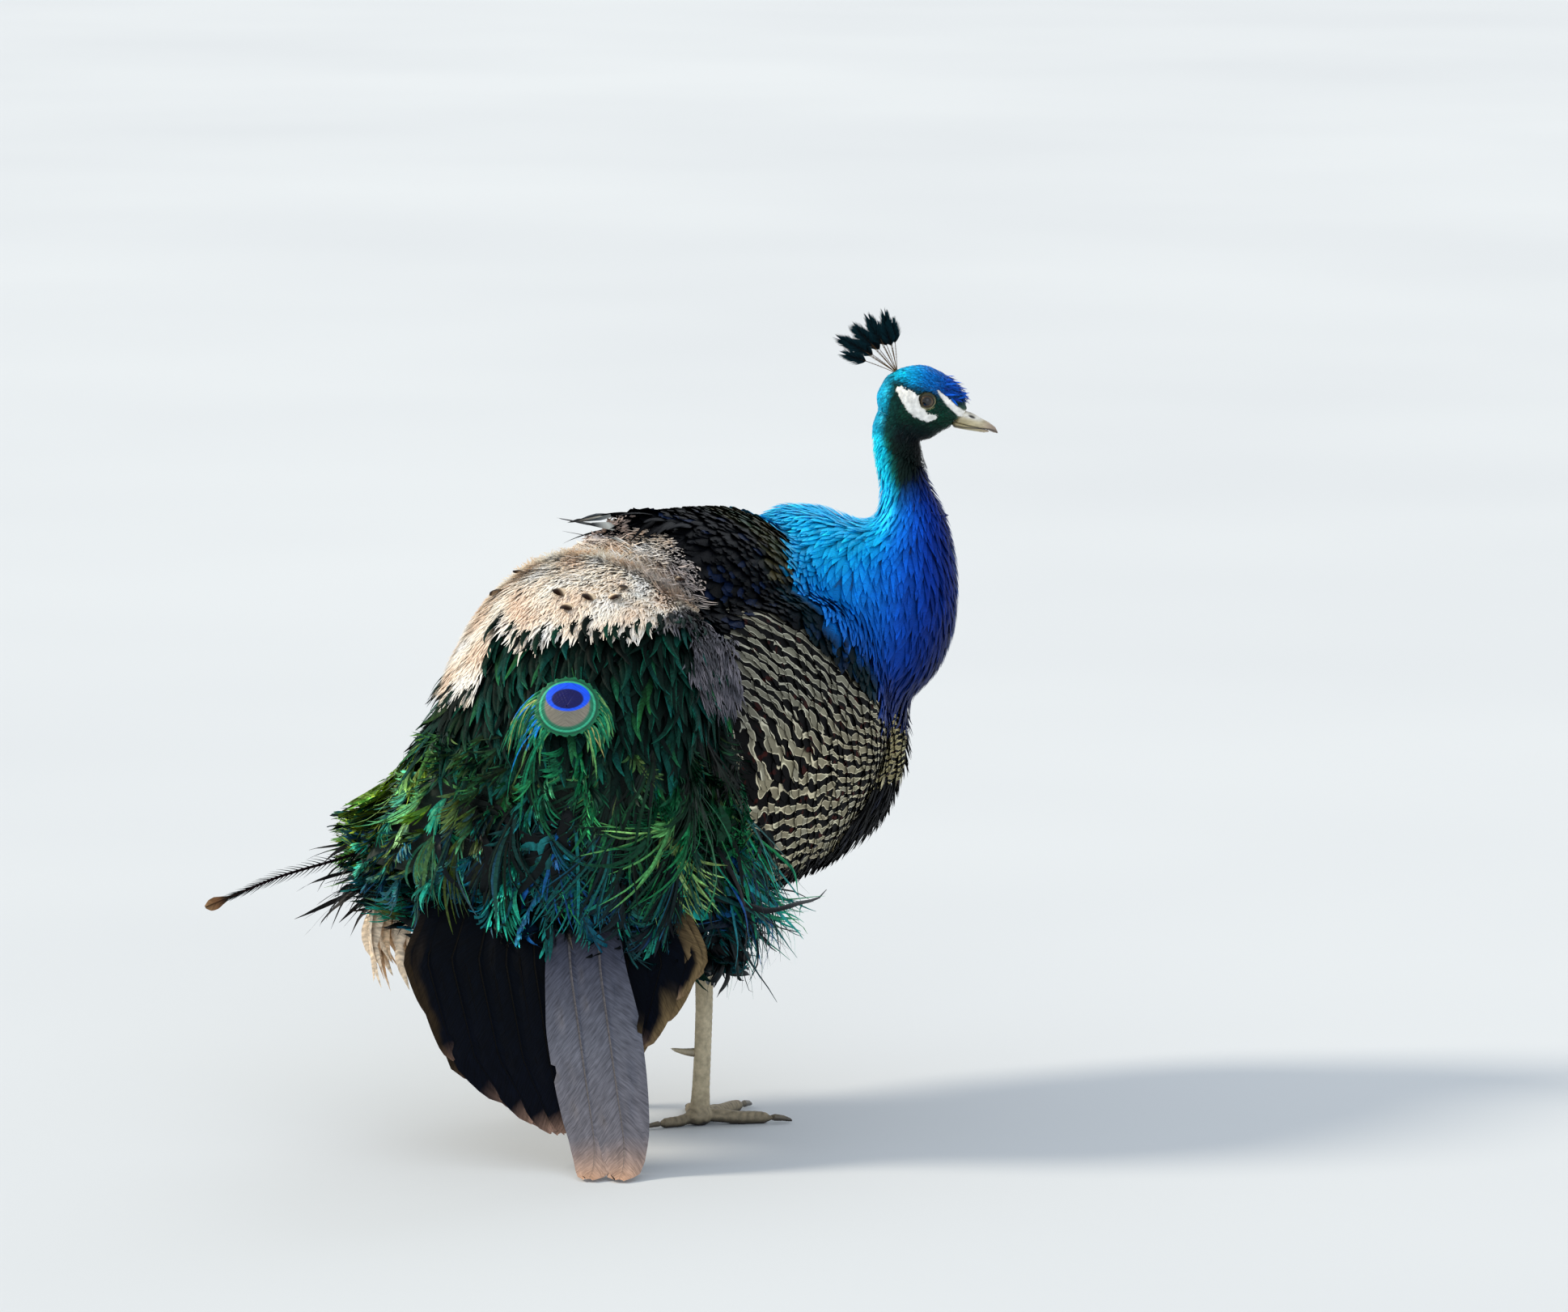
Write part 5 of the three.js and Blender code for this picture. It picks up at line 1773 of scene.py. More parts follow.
@dataclass
class DownCoat(Plumes):
    """Loose down on the rump: soft blades in tufts, cream and buff with a pink-brown top edge, greyed pink at
    its right and front as painted shade, with dark crescents.
    """

    gap: float = 3.1
    blades: int = 5
    length: float = 23.0
    rows: int = 5
    hollow_gap: float = 3.2
    hollow_blades: int = 4
    dots: tuple = ((-26, 140, 458), (-33, 147, 449), (-48, 134, 455), (-56, 126, 454), (-58, 109, 460),
                   (-60, 38, 462), (-52, 34, 466), (30, 112, 462), (44, 130, 448))

    def build(self) -> None:
        """Makes the down."""
        rng, each = self.rng, self.blades
        coat = Coat("coat_rump_down", rng)
        roots, normals = self.sow(self.gap, only(Plumage.DOWN, Plumage.GREY_DOWN))
        fan = np.tile(np.linspace(-0.5, 0.5, each), len(roots))
        roots, normals = np.repeat(roots, each, axis=0), np.repeat(normals, each, axis=0)
        many = len(roots)
        stray = fan * 0.8 + rng.normal(0, 0.12, many)
        length = self.length * rng.uniform(0.6, 1.15, many)
        length = length * mix(1.0, 0.62, smooth(60, 30, roots[:, 1]))
        proud = 3.4 + 3.0 * (wobble(roots, 24, 2.0) * 0.5 + 0.5) + rng.uniform(-0.7, 0.9, many)
        bend = -fan * 0.6 + rng.normal(0, 0.18, many)
        spine, outward = self.lay(roots, normals, length, self.rows, stray, 5.0, proud, 0.7, bend)
        dyed = jitter(self.dye_and_shade_at(roots, normals), 0.03, rng)
        tip = jitter(self.dye_and_shade_at(spine[:, 3], outward[:, 3]), 0.03, rng)
        coat.add(spine, outward, rng.uniform(1.4, 2.6, many), blade, ramp(dyed, tip, self.rows), 2)
        self.hollow(coat)
        self.crescents(coat)
        coat.piece(Finish.DOWN, "rump_feather")

    def hollow(self, coat: Coat) -> None:
        """Adds to the coat the tousled tufts that fill the hollow between the dome and the rump.

        Args:
            coat: The coat that takes them.
        """
        rng, each, down = self.rng, self.hollow_blades, only(Plumage.DOWN)

        def in_hollow(p: Array, n: Array) -> Array:
            """Returns which places are in the hollow."""
            return down(p, n) & (np.abs(p[:, 1] - 54) < 30) & (p[:, 2] > 425) & (p[:, 0] > -84)

        roots, normals = self.sow(self.hollow_gap, in_hollow)
        roots, normals = np.repeat(roots, each, axis=0), np.repeat(normals, each, axis=0)
        many = len(roots)
        stray, bend = rng.uniform(-1.3, 1.3, many), rng.normal(0, 0.7, many)
        length, proud = rng.uniform(9, 18, many), rng.uniform(5, 10, many)
        spine, outward = self.lay(roots, normals, length, self.rows, stray, 2, proud, 0.6, bend)
        # Painted shade: the tufts grey towards the right side.
        shaded_colour = tinted(self.dye_and_shade_at(roots, normals), "#a08c84", 0.5 * smooth(-20, -60, roots[:, 0]))
        dyed = jitter(shaded_colour, 0.04, rng)
        coat.add(spine, outward, rng.uniform(1.0, 1.9, many), blade, ramp(dyed, dyed, self.rows), 2)

    def dye_and_shade_at(self, p: Array, n: Array) -> Array:
        """Colours the down by place, with painted shade greying its right side and front.

        Args:
            p: The places.
            n: Their normals.
        Returns:
            A linear colour for each.
        """
        x, y, z = p.T
        warm = (wobble(p, 38, 4.0) + 1) / 2
        dyed = shades([(0, "#f2d8c0"), (0.3, "#fbead6"), (0.6, "#fff8ec"), (1, "#ffffff")], warm)
        dyed = tinted(dyed, "#b08c80", 0.6 * (smooth(474, 492, z) * smooth(-30, 10, x) * smooth(70, 30, y)))
        # Painted shade: grey-pink on the down's right side and front, away from the light.
        dyed = tinted(dyed, "#8c7c7a", 0.7 * (smooth(58, 18, y) * smooth(-24, -60, x)))
        grey = ((MARKINGS.kind(p, n) == Plumage.GREY_DOWN.value) | (x < -98)) & (x < 0)
        smudge = shades([(0, "#1c2226"), (0.4, "#54545c"), (1, "#98929a")], (wobble(p, 15, 9.0) + 1) / 2)
        return np.where(grey[:, None], smudge, dyed)

    def crescents(self, coat: Coat) -> None:
        """Adds to the coat the small dark-tipped feathers that dot the down.

        Args:
            coat: The coat that takes them.
        """
        rng, many, rows = self.rng, len(self.dots), 8
        roots, normals = self.ground.nearest(np.array(self.dots, float))
        length, stray = np.full(many, 13.0), rng.normal(0, 0.5, many)
        spine, outward = self.lay(roots, normals, length, rows, stray, 1, 10.0, 0.5)
        tint = shades([(0, "#f0dcc0"), (0.52, "#e6ccaa"), (0.58, "#2a160c"), (1, "#160c08")],
                      np.linspace(0, 1, rows))
        coat.add(spine, outward, rng.uniform(4.2, 6.0, many), leaf, np.repeat(tint[None], many, 0), 5, 0.5)


@dataclass
class ScaleCoat(Plumes):
    """Curved green-black feathers that hang from under the down over the train's root."""

    gap: float = 6.2
    hook_gap: float = 7.5

    def build(self) -> None:
        """Makes the scale feathers."""
        rng, rows, columns = self.rng, 8, 5
        coat = Coat("coat_train_scales", rng)
        roots, normals = self.sow(self.gap, only(Plumage.SCALES, Plumage.GREY_DOWN))
        many = len(roots)
        length = rng.uniform(34, 54, many)
        bend = 1.5 * np.sign(rng.random(many) - 0.3) * rng.random(many)
        stray, proud = rng.normal(0, 0.18, many) - bend * 0.5, rng.uniform(1, 7, many)
        spine, outward = self.lay(roots, normals, length, rows, stray, 8, proud, 0.7, bend)
        slow = (wobble(roots, 60, 6.0) + 1) / 2
        base = jitter(shades([(0, "#010303"), (0.5, "#020807"), (1, "#04140f")], slow), 0.3, rng)
        tip = shades([(0, "#02100e"), (0.4, "#05261d"), (0.7, "#083e32"), (0.9, "#0a5650"), (1, "#22662c")],
                     rng.random(many))
        # Painted sunlight: yellow-green tips on the left, low down.
        sunlit_lime = smooth(20, 60, roots[:, 0]) * smooth(400, 350, roots[:, 2]) * (rng.random(many) < 0.3)
        tint = np.repeat(ramp(base, tinted(tip, "#4f8430", sunlit_lime * 0.6), rows, 1.7)[:, :, None], columns,
                         axis=2)
        lit = smooth(0.4, 1.0, np.linspace(-1, 1, columns) * rng.choice([-1, 1], many)[:, None])
        lit = 0.6 * (lit * (rng.random(many) < 0.4)[:, None])
        tint = mix(tint, dye("#10745c"),
                   lit[:, None, :, None] * np.linspace(0.2, 1, rows)[None, :, None, None])
        coat.add(spine, outward, rng.uniform(3.6, 6.4, many), lance, tint, columns, 0.35, 0.9, 0.7, 0.08)
        self.hooks(coat)
        coat.piece(Finish.SCALY, "train_feather")

    def hooks(self, coat: Coat) -> None:
        """Adds to the coat the short hooked feathers that overlap the down's lower edge.

        Args:
            coat: The coat that takes them.
        """
        rng, rows = self.rng, 9

        def by_edge(p: Array, n: Array) -> Array:
            """Returns which places are down just above its lower edge."""
            dark = [Plumage.SCALES.value, Plumage.HERL.value]
            below = np.isin(MARKINGS.kind(p + LIE.at(p, n) * 12, n), dark)
            return below & (MARKINGS.kind(p, n) == Plumage.DOWN.value)

        roots, normals = self.sow(self.hook_gap, by_edge)
        many = len(roots)
        bend = 1.9 * rng.choice([-1, 1, 1], many) * rng.uniform(0.5, 1, many)
        length, proud = rng.uniform(20, 32, many), rng.uniform(7, 10, many)
        spine, outward = self.lay(roots, normals, length, rows, -bend * 0.6, 2, proud, 0.45, bend)
        tip = shades([(0, "#020a0a"), (0.6, "#06261c"), (1, "#0a4434")], rng.random(many))
        # Darker at the root: painted shade where they leave the down.
        coat.add(spine, outward, rng.uniform(2.4, 4.2, many), lance, ramp(tip * 0.4, tip, rows), 5, 0.3, 0.5)


@dataclass
class WingCoat(Plumes):
    """Closed barred coverts, laid like tiles from the shoulder back, one piece to each wing."""

    gap: float = 8.6
    rows: int = 9

    def build(self, side: int) -> None:
        """Makes the coverts of the wing on that side, RIGHT or LEFT.

        Args:
            side: RIGHT or LEFT.
        """
        rng, rows = self.rng, self.rows
        coat = Coat(f"coat_wing_{'right' if side == RIGHT else 'left'}", rng)
        barred = only(Plumage.BARRED)
        roots, normals = self.sow(
            self.gap, lambda p, n: barred(p, n) & ((p[:, 0] - midline(p[:, 1])) * side > 0)
        )
        many, y, z = len(roots), roots[:, 1], roots[:, 2]
        big = smooth(330, 250, z)
        length = mix(28.0, 38.0, big) * rng.uniform(0.9, 1.15, many)
        spine, outward = self.lay(roots, normals, length, rows, rng.normal(0, 0.06, many), 4.5, 1.2, 0.85)
        tint = mix(dye("#fffaf0"), dye("#d4d8dc"), smooth(300, 380, z)[:, None])
        tint = tinted(tint, "#f8f0cc", smooth(-168, -205, y))
        tint = tinted(tint, "#80828c", 0.85 * (smooth(0, 50, y) * smooth(330, 400, z)))
        tint = jitter(np.clip(tint, 0, 1), 0.1, rng)
        # Slightly darker at the root: painted shade where the coverts overlap.
        coat.add(spine, outward, mix(11.5, 14.0, big), leaf, ramp(tint * 0.9, tint, rows),
                 7, 0.07, 0.3, 0.3, bar=rng.normal(0, 0.9, many))
        coat.piece(Finish.BARRED, "wing_feather")


@dataclass
class BellyCoat(Plumes):
    """Soft black plumage under the trunk and between the legs, fuzzy at the outline."""

    gap: float = 5.4
    rows: int = 5
    pale_spot: tuple[float, float, float] = (-123.0, -192.0, 270.0)

    def build(self) -> None:
        """Makes the belly's coat, and the one pale feather before the right wing."""
        rng, rows = self.rng, self.rows
        coat = Coat("coat_belly", rng)
        dark = only(Plumage.BELLY)
        roots, normals = self.sow(self.gap, lambda p, n: dark(p, n) & (p[:, 2] > 112))
        many = len(roots)
        leg = smooth(205, 165, roots[:, 2])
        length = mix(27.0, 14.0, leg) * rng.uniform(0.8, 1.25, many)
        proud = mix(3.4, 1.2, leg) * rng.uniform(0.4, 1.7, many)
        stray, depth = rng.normal(0, 0.24, many), mix(6, 3, leg.mean())
        spine, outward = self.lay(roots, normals, length, rows, stray, depth, proud)
        dyed = tinted(jitter(trunk_dye_and_light(roots, normals), 0.4, rng), "#1c1712", leg * 0.7)
        glint = (rng.random(many) < 0.06)[:, None] * dye("#0c1a3c") * 0.5
        coat.add(spine, outward, mix(4.2, 2.4, leg), lance, ramp(dyed, dyed * 1.25 + glint, rows),
                 3, 0.25, 1.2, 0.3, 0.1)
        spot, normal = self.ground.nearest(np.array([self.pale_spot]))
        line, out = self.lay(spot, normal, np.array([16.0]), 7, np.zeros(1), 1, 4.5)
        coat.add(line, out, np.array([6.0]), leaf, ramp(dye("#8d8468")[None], dye("#c6bd96")[None], 7), 5,
                 0.2, 0.3)
        coat.piece(Finish.FLUFF, "belly_feather")


# ---- train -------------------------------------------------------------------------------

HEM_MIDDLE = np.array([4.0, 64.0])
MIDDLE = np.array([*HEM_MIDDLE, 0.0])


def spokes_at(turn: Array) -> tuple[Array, Array]:
    """Returns the ways out from the train's middle and round it, for turns in radians."""
    radial = np.stack([np.cos(turn), np.sin(turn), 0 * turn], axis=1)
    return radial, np.stack([-radial[:, 1], radial[:, 0], 0 * turn], axis=1)


def round_train(p: Array) -> Array:
    """Returns how far round the train places are, in degrees: 32 at its left, 122 behind, 212 right."""
    turn = np.degrees(np.arctan2(p[..., 1] - HEM_MIDDLE[1], p[..., 0] - HEM_MIDDLE[0]))
    return np.where(turn < -60, turn + 360, turn)


def left_sweep(turn: Array) -> Array:
    """Returns how much the train sweeps out there, from 0 to 1: it does at the bird's left."""
    return hump(turn, 36, 20)


def train_lean(turn: Array) -> Array:
    """Returns how far the train's strands lean sideways: to the left behind, a little right at the right."""
    return 0.3 * smooth(124, 180, turn) - 0.85 * smooth(122, 92, turn) * smooth(24, 56, turn)


@dataclass(frozen=True)
class Fall:
    """How a loose strand hangs: its weight, how it strays and flares, how it clears the bird."""

    weight: float = 0.25
    stray: float = 0.12
    clear: float = 1.5
    flare: float = 0.08
    swept: float = 0.3
    foot: tuple = ((-60, -10, 20, 36, 46, 60, 85, 130, 150, 175, 210, 300),
                   (150, 150, 166, 166, 148, 134, 166, 166, 146, 120, 114, 130))
    edge: tuple = ((150, 200, 262, 275, 296, 326, 350), (150, 222, 218, 190, 152, 136, 126))

    def hang(
        self, guide: Surface, roots: Array, ways: Array, length: Array, rows: int, rng: np.random.Generator,
        lock: Array | None = None,
    ) -> tuple[Array, Array]:
        """Hangs strands from their roots.

        Args:
            guide: The plumage's outline, which they stay outside of.
            roots: Where they start.
            ways: The way they leave.
            length: Each strand's length in millimetres.
            rows: How many points a strand has.
            rng: The random source.
            lock: Each strand's lock, whose strands curl together.
        Returns:
            The strands' points and outward normals, by strand and row.
        """
        p, way = roots, unit(ways)
        lock = np.arange(len(roots)) if lock is None else lock
        curl = rng.normal(0, self.stray, (lock.max() + 1, 3))[lock]
        curl = curl + rng.normal(0, self.stray * 0.4, p.shape)
        spine, outward = [p], []
        for row in range(rows):
            near, n = guide.nearest(p)
            radial = unit((p - MIDDLE) * [1, 1, 0])
            outward.append(unit(mix(n, radial + [0, 0, 0.25], smooth(232, 205, p[:, 2:]))))
            if row == rows - 1:
                break
            curl = curl + rng.normal(0, self.stray * 0.5, (lock.max() + 1, 3))[lock]
            sweep = self.swept * left_sweep(round_train(p))[:, None] * smooth(304, 268, p[:, 2:])
            way = unit(way + [0, 0, -self.weight] * (1 - sweep) + radial * (self.flare + sweep) + curl)
            p = p + way * (length / (rows - 1))[:, None]
            near, n = guide.nearest(p)
            push = np.clip(self.clear - ((p - near) * n).sum(1), 0, 14) * (p[:, 2] > 214)
            p = p + n * push[:, None]
            spine.append(p)
        return self.trimmed(np.stack(spine, 1), rng), np.stack(outward, 1)

    def trimmed(self, spine: Array, rng: np.random.Generator) -> Array:
        """Draws the strands that would pass the hem towards their roots.

        Args:
            spine: The strands' middle lines.
            rng: The random numbers.

        Returns:
            The lines, none of them past the hem.
        """
        root, tip = spine[:, 0], spine[:, -1]
        turn = round_train(tip)
        foot = np.interp(turn, *self.foot) + 30 * rng.random(len(spine)) ** 1.6
        near = np.linalg.norm(root[:, :2] - HEM_MIDDLE, axis=1)
        far = np.linalg.norm(tip[:, :2] - HEM_MIDDLE, axis=1)
        reach = mix(152, np.interp(tip[:, 2], *self.edge), left_sweep(turn)) - 14 * rng.random(len(spine))
        reach = np.maximum(reach, near + 3)
        down = (root[:, 2] - foot) / np.maximum(root[:, 2] - tip[:, 2], 1)
        out = np.where(far > reach, (reach - near) / np.maximum(far - near, 1), 1)
        share = np.clip(np.minimum(np.where(tip[:, 2] < foot, down, 1), out), 0.25, 1)
        spine = root[:, None] + (spine - root[:, None]) * share[:, None, None]
        swept = left_sweep(round_train(spine))
        away = spine[..., :2] - HEM_MIDDLE
        radius = np.linalg.norm(away, axis=2)
        edge = mix(160, np.interp(spine[..., 2], *self.edge), swept) + 9 * rng.random((len(spine), 1)) - 3
        over = np.maximum(radius - edge, 0) * swept * 0.85
        spine[..., :2] -= away / np.maximum(radius, 1)[..., None] * over[..., None]
        return spine


def train_dye_and_light(p: Array, rng: np.random.Generator) -> Array:
    """Colours the train: dark emerald, nearly black at its upper right, yellow-green at the left as painted
    sunlight, teal low down.

    Args:
        p: The places.
        rng: The random source.
    Returns:
        A linear colour for each.
    """
    turn, z = round_train(p), p[:, 2]
    pick = rng.random(len(p))
    mid = shades([(0, "#010806"), (0.4, "#02241a"), (0.65, "#064c30"), (0.83, "#0e7446"), (0.95, "#2a8c4c"),
                  (1, "#8ca458")], pick)
    low = shades([(0, "#010306"), (0.36, "#02141c"), (0.55, "#063a3c"), (0.7, "#0a6c68"), (0.82, "#0a4a8c"),
                  (0.92, "#0c7c54"), (1, "#2cc4ac")], pick)
    border = mix(292, 236, smooth(112, 142, turn)) - 20 * left_sweep(turn)
    dyed = mix(mid, low, smooth(12, -22, z + 18 * wobble(p, 50, 2.0) - border)[:, None])
    dark = smooth(118, 150, turn) * smooth(262, 300, z + 14 * wobble(p, 40, 5.0))
    dyed = dyed * (1 - 0.72 * dark)[:, None]
    # Painted sunlight: yellow-green strands on the train's left.
    sunlit_lime = hump(turn, 50, 26) * smooth(214, 250, z + 12 * wobble(p, 36, 8.0)) * smooth(345, 310, z)
    sunlit_lime = sunlit_lime * (rng.random(len(p)) < 0.42)
    dyed = mix(dyed, shades([(0, "#5c9e1c"), (1, "#c4d83c")], rng.random(len(p))), (0.85 * sunlit_lime)[:, None])
    cyan = np.exp(-(((p - [-124, 20, 262]) / [26, 26, 24]) ** 2).sum(1))
    cyan = cyan + smooth(196, 214, turn) * smooth(225, 195, z)
    dyed = tinted(dyed, "#12a8b0", np.clip(0.8 * cyan * (rng.random(len(p)) < 0.6), 0, 1))
    return jitter(dyed, 0.25, rng)


@dataclass
class Train(Plumes):
    """The short train of a bird in moult: loose herled feathers, a tangled hem and eyespots."""

    feather_gap: float = 13.5
    herls: int = 18
    hem_locks: int = 330
    hem_strips: int = 6
    wide_strips: int = 4
    tan_straws: int = 30
    straws: int = 64
    under_strips: int = 700
    flank_strips: int = 330

    def build(self) -> None:
        """Makes the train's pieces."""
        self.herled()
        self.hem()
        self.under()
        self.flanks()
        self.eyespots()
        self.loose_feather()

    def herled(self) -> None:
        """Makes the middle band: feathers whose long loose herls hang on both sides."""
        rng = self.rng
        coat = Coat("coat_train_herl", rng)
        roots, normals = self.sow(
            self.feather_gap,
            lambda p, n: (p[:, 1] > 44) & (p[:, 2] > 226) & (p[:, 2] < 350) & (np.abs(n[:, 2]) < 0.9),
        )
        roots = roots[MARKINGS.kind(roots, normals) != Plumage.BARRED.value]
        roots, normals = self.ground.nearest(roots)
        many, rows, herl_rows = len(roots), 10, 9
        length = rng.uniform(56, 92, many)
        turn = round_train(roots)
        radial = unit((roots - MIDDLE) * [1, 1, 0])
        tangent = np.stack([-radial[:, 1], radial[:, 0], 0 * turn], axis=1)
        swept = left_sweep(turn) * smooth(304, 268, roots[:, 2])
        ways = turned(LIE.at(roots, normals), normals, rng.normal(0, 0.16, many)) + normals * 0.05
        ways = ways + tangent * train_lean(turn)[:, None] + radial * swept[:, None] * 0.6
        fall = Fall(0.07, 0.05, 1.0, 0.02)
        shafts, outward = fall.hang(self.ground, roots - normals * 4, ways, length, rows, rng)
        pale = ramp(np.tile(dye("#2c3a24"), (many, 1)), np.tile(dye("#10281c"), (many, 1)), rows)
        coat.add(shafts, outward, np.full(many, 0.5), blade, pale, 3, 0.5, 0, 0)
        at = np.tile(np.linspace(0.05, 0.9, self.herls), 2)
        side = np.repeat([-1.0, 1.0], self.herls)
        each = 2 * self.herls
        total, lock = many * each, np.repeat(np.arange(many), each)
        place = at * (rows - 1)
        low = np.minimum(place.astype(int), rows - 2)
        start = mix(shafts[:, low], shafts[:, low + 1], (place - low)[None, :, None]).reshape(-1, 3)
        ahead = unit(shafts[:, low + 1] - shafts[:, low]).reshape(-1, 3)
        out = outward[:, low].reshape(-1, 3)
        spread = np.tile(np.radians(17 - 10 * at) * side, many) + rng.normal(0, 0.08, total)
        ways = turned(ahead, out, spread) + out * rng.uniform(-0.1, 0.14, (total, 1))
        long = rng.uniform(52, 108, total)
        short = np.clip(26 + 1.05 * (start[:, 2] - 228), 22, 108) + 20 * rng.random(total)
        long = mix(np.minimum(long, short), long, left_sweep(round_train(start)))
        fall = Fall(0.05, 0.09, 0.5, 0.02)
        spine, faced = fall.hang(self.ground, start, ways, long, herl_rows, rng, lock)
        base = np.repeat(train_dye_and_light(roots - [0, 0, 30], rng), each, axis=0)
        dyed = jitter(mix(base, train_dye_and_light(spine[:, 3], rng), 0.35), 0.2, rng)
        # Darker at the root: painted shade deep in the train.
        width, tint = 0.5 + 1.0 * rng.random(total) ** 2, ramp(dyed * 0.3, dyed * 1.35, herl_rows, 0.8)
        coat.add(spine, faced, width, ribbon, tint, 2, 0.2, 0.0, 0.0)
        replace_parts(coat.piece(Finish.HERL, "train_feather"), "train_skirt")

    def hem(self) -> None:
        """Makes the tangled hem: locks of curled strips, some wide and some fine, that cross."""
        rng, locks, each, rows = self.rng, self.hem_locks, self.hem_strips, 13
        coat = Coat("coat_train_hem", rng)
        many, lock = locks * each, np.repeat(np.arange(locks), each)
        turn = np.where(rng.random(locks) < 0.22, rng.normal(40, 13, locks), rng.uniform(-18, 196, locks))
        radial, tangent = spokes_at(np.radians(turn))
        long = rng.uniform(58, 108, locks)
        z = rng.uniform(174, 296, locks) - 30 * smooth(120, 150, turn) * rng.random(locks)
        z = np.maximum(z, np.interp(turn, *Fall.foot) + 0.55 * long)
        sweep = left_sweep(turn)
        reach = mix(104, 124, (268 - z) / 100) * rng.uniform(0.86, 1.02, locks)
        reach = reach + 34 * sweep * rng.random(locks)
        roots = radial * np.where(z > 262, 134, reach)[:, None] + MIDDLE
        roots[:, 2] = z + 6 * sweep
        cross = (train_lean(turn) * 0.8 + rng.normal(0, mix(0.6, 0.3, sweep)))[:, None]
        ways = radial * rng.uniform(0.1, 0.8, (locks, 1)) + tangent * cross
        thrown = sweep * smooth(304, 262, z) * rng.uniform(0.8, 1.9, locks)
        ways = ways + [0, 0, -0.8] + radial * thrown[:, None]
        length = long[lock] * rng.uniform(0.7, 1.1, many)
        spread, round_it = rng.normal(0, 1, (2, many, 1)), tangent[lock]
        start = roots[lock] + round_it * spread[0] * 4.5 + [0, 0, 1] * spread[1] * 5.0
        ways = unit(ways)[lock] + round_it * (0.09 * spread[0] + rng.normal(0, 0.05, (many, 1)))
        fall = Fall(0.06, 0.17, 4.5, 0.05, 0.5)
        spine, outward = fall.hang(self.ground, start, ways, length, rows, rng, lock)
        t = steps(rows)
        wave = rng.normal(0, 9, (locks, 1, 1))[lock]
        wave = wave * np.sin(t * 5.2 + rng.random((locks, 1, 1))[lock] * 6) * t
        spine = spine + round_it[:, None] * wave
        spine[..., 2] = np.maximum(spine[..., 2], 122 + 20 * rng.random((many, 1)))
        dyed = train_dye_and_light(spine[::each, 5], rng)[lock] * np.exp(rng.normal(0, 0.35, (many, 1)))
        # Near-black locks and strips give the hem its dark gaps: painted shade between the strands.
        dark = (rng.random(locks) < 0.4 + 0.2 * sweep)[lock] | (rng.random(many) < 0.12)
        dyed = np.where(dark[:, None], dye("#010406") + dyed * 0.08, dyed)
        wide = np.tile(np.arange(each) < self.wide_strips, locks)
        roll = np.sin(np.linspace(0, 3.4, rows) + rng.random((many, 1)) * 2)[..., None]
        roll = roll * rng.normal(0, 0.6, (many, 1, 1))
        width = np.where(wide, rng.uniform(2.4, 6.6, many), 0.8 + 1.6 * rng.random(many) ** 2)
        # Darker at the root, painted shade where the strips gather, and darker again over the last quarter.
        tint = ramp(dyed * 0.3, dyed * 1.3, rows, 0.7) * (1 - 0.5 * smooth(0.75, 1, t[0]))
        facing = unit(outward + round_it[:, None] * roll)
        for which, outline, cup in ((wide, strap, 0.22), (~wide, lance, 0.4)):
            coat.add(spine[which], facing[which], width[which], outline, tint[which], 3, cup, 0.5, 0.5, 0.05)
        self.worn(coat)
        coat.piece(Finish.HERL, "train_feather")

    def worn(self, coat: Coat) -> None:
        """Adds to the coat the worn tan and orange strips and the black spikes under the left sweep.

        Args:
            coat: The coat that takes them.
        """
        rng, many, rows = self.rng, self.straws, 9
        tan = np.arange(many) < self.tan_straws

        def draw(straw: tuple[float, float], spike: tuple[float, float]) -> Array:
            """Returns a random number for each: from one range for a straw, one for a spike."""
            return np.where(tan, rng.uniform(*straw, many), rng.uniform(*spike, many))

        radial, _ = spokes_at(np.radians(draw((26, 48), (22, 48))))
        start = radial * draw((142, 178), (140, 172))[:, None] + MIDDLE
        start[:, 2] = draw((196, 214), (205, 262))
        tip = start + radial * draw((-12, 8), (38, 78))[:, None]
        tip = tip - [0, 0, 1] * draw((52, 82), (12, 56))[:, None]
        t = steps(rows)
        sway = rng.normal(0, 3, (many, 1, 3)) * np.sin(t * 4 + rng.random((many, 1, 1)) * 6)
        bow = radial[:, None] * 10 * np.sin(t * math.pi)
        spine = start[:, None] + (tip - start)[:, None] * t + bow + sway * t
        straw = shades([(0, "#9a7450"), (0.5, "#ccac88"), (1, "#f4e4cc")], rng.random(many))
        dyed = np.where(tan[:, None], straw, dye("#030406"))
        outward = unit(mix(radial, [-0.4, 0.9, 0.1], 0.6 * tan[:, None]) + rng.normal(0, 0.3, (many, 3)))
        # Darker at the root: painted shade.
        width, tint = draw((3.6, 6.4), (1.8, 3.4)), ramp(dyed * 0.8, dyed, rows)
        coat.add(spine, held(outward, rows), width, strap, tint, 3, 0.3, 1.2, 0.5, 0.12)

    def under(self) -> None:
        """Makes the near-black strands under the hem, painted shade that fills the dark beneath it."""
        rng, many, rows = self.rng, self.under_strips, 8
        coat = Coat("coat_train_shade_strands", rng)
        radial, _ = spokes_at(np.radians(rng.uniform(-22, 200, many)))
        roots = radial * rng.uniform(64, 112, (many, 1)) + MIDDLE
        roots[:, 2] = rng.uniform(196, 226, many)
        ways = radial * rng.uniform(0.0, 0.6, (many, 1)) + rng.normal(0, 0.18, (many, 3)) + [0, 0, -1]
        fall, length = Fall(0.12, 0.08, 0.5, 0.03), rng.uniform(34, 72, many)
        spine, outward = fall.hang(self.ground, roots, ways, length, rows, rng)
        dyed = shades([(0, "#010203"), (0.8, "#030507"), (0.95, "#04201c"), (1, "#0a3a24")], rng.random(many))
        # Darker at the root: more painted shade.
        width, tint = rng.uniform(2.6, 5.0, many), ramp(dyed * 0.7, dyed, rows)
        coat.add(spine, outward, width, lance, tint, 3, 0.3, 1.5, 0.5, 0.15)
        coat.piece(Finish.FLUFF, "train_feather")

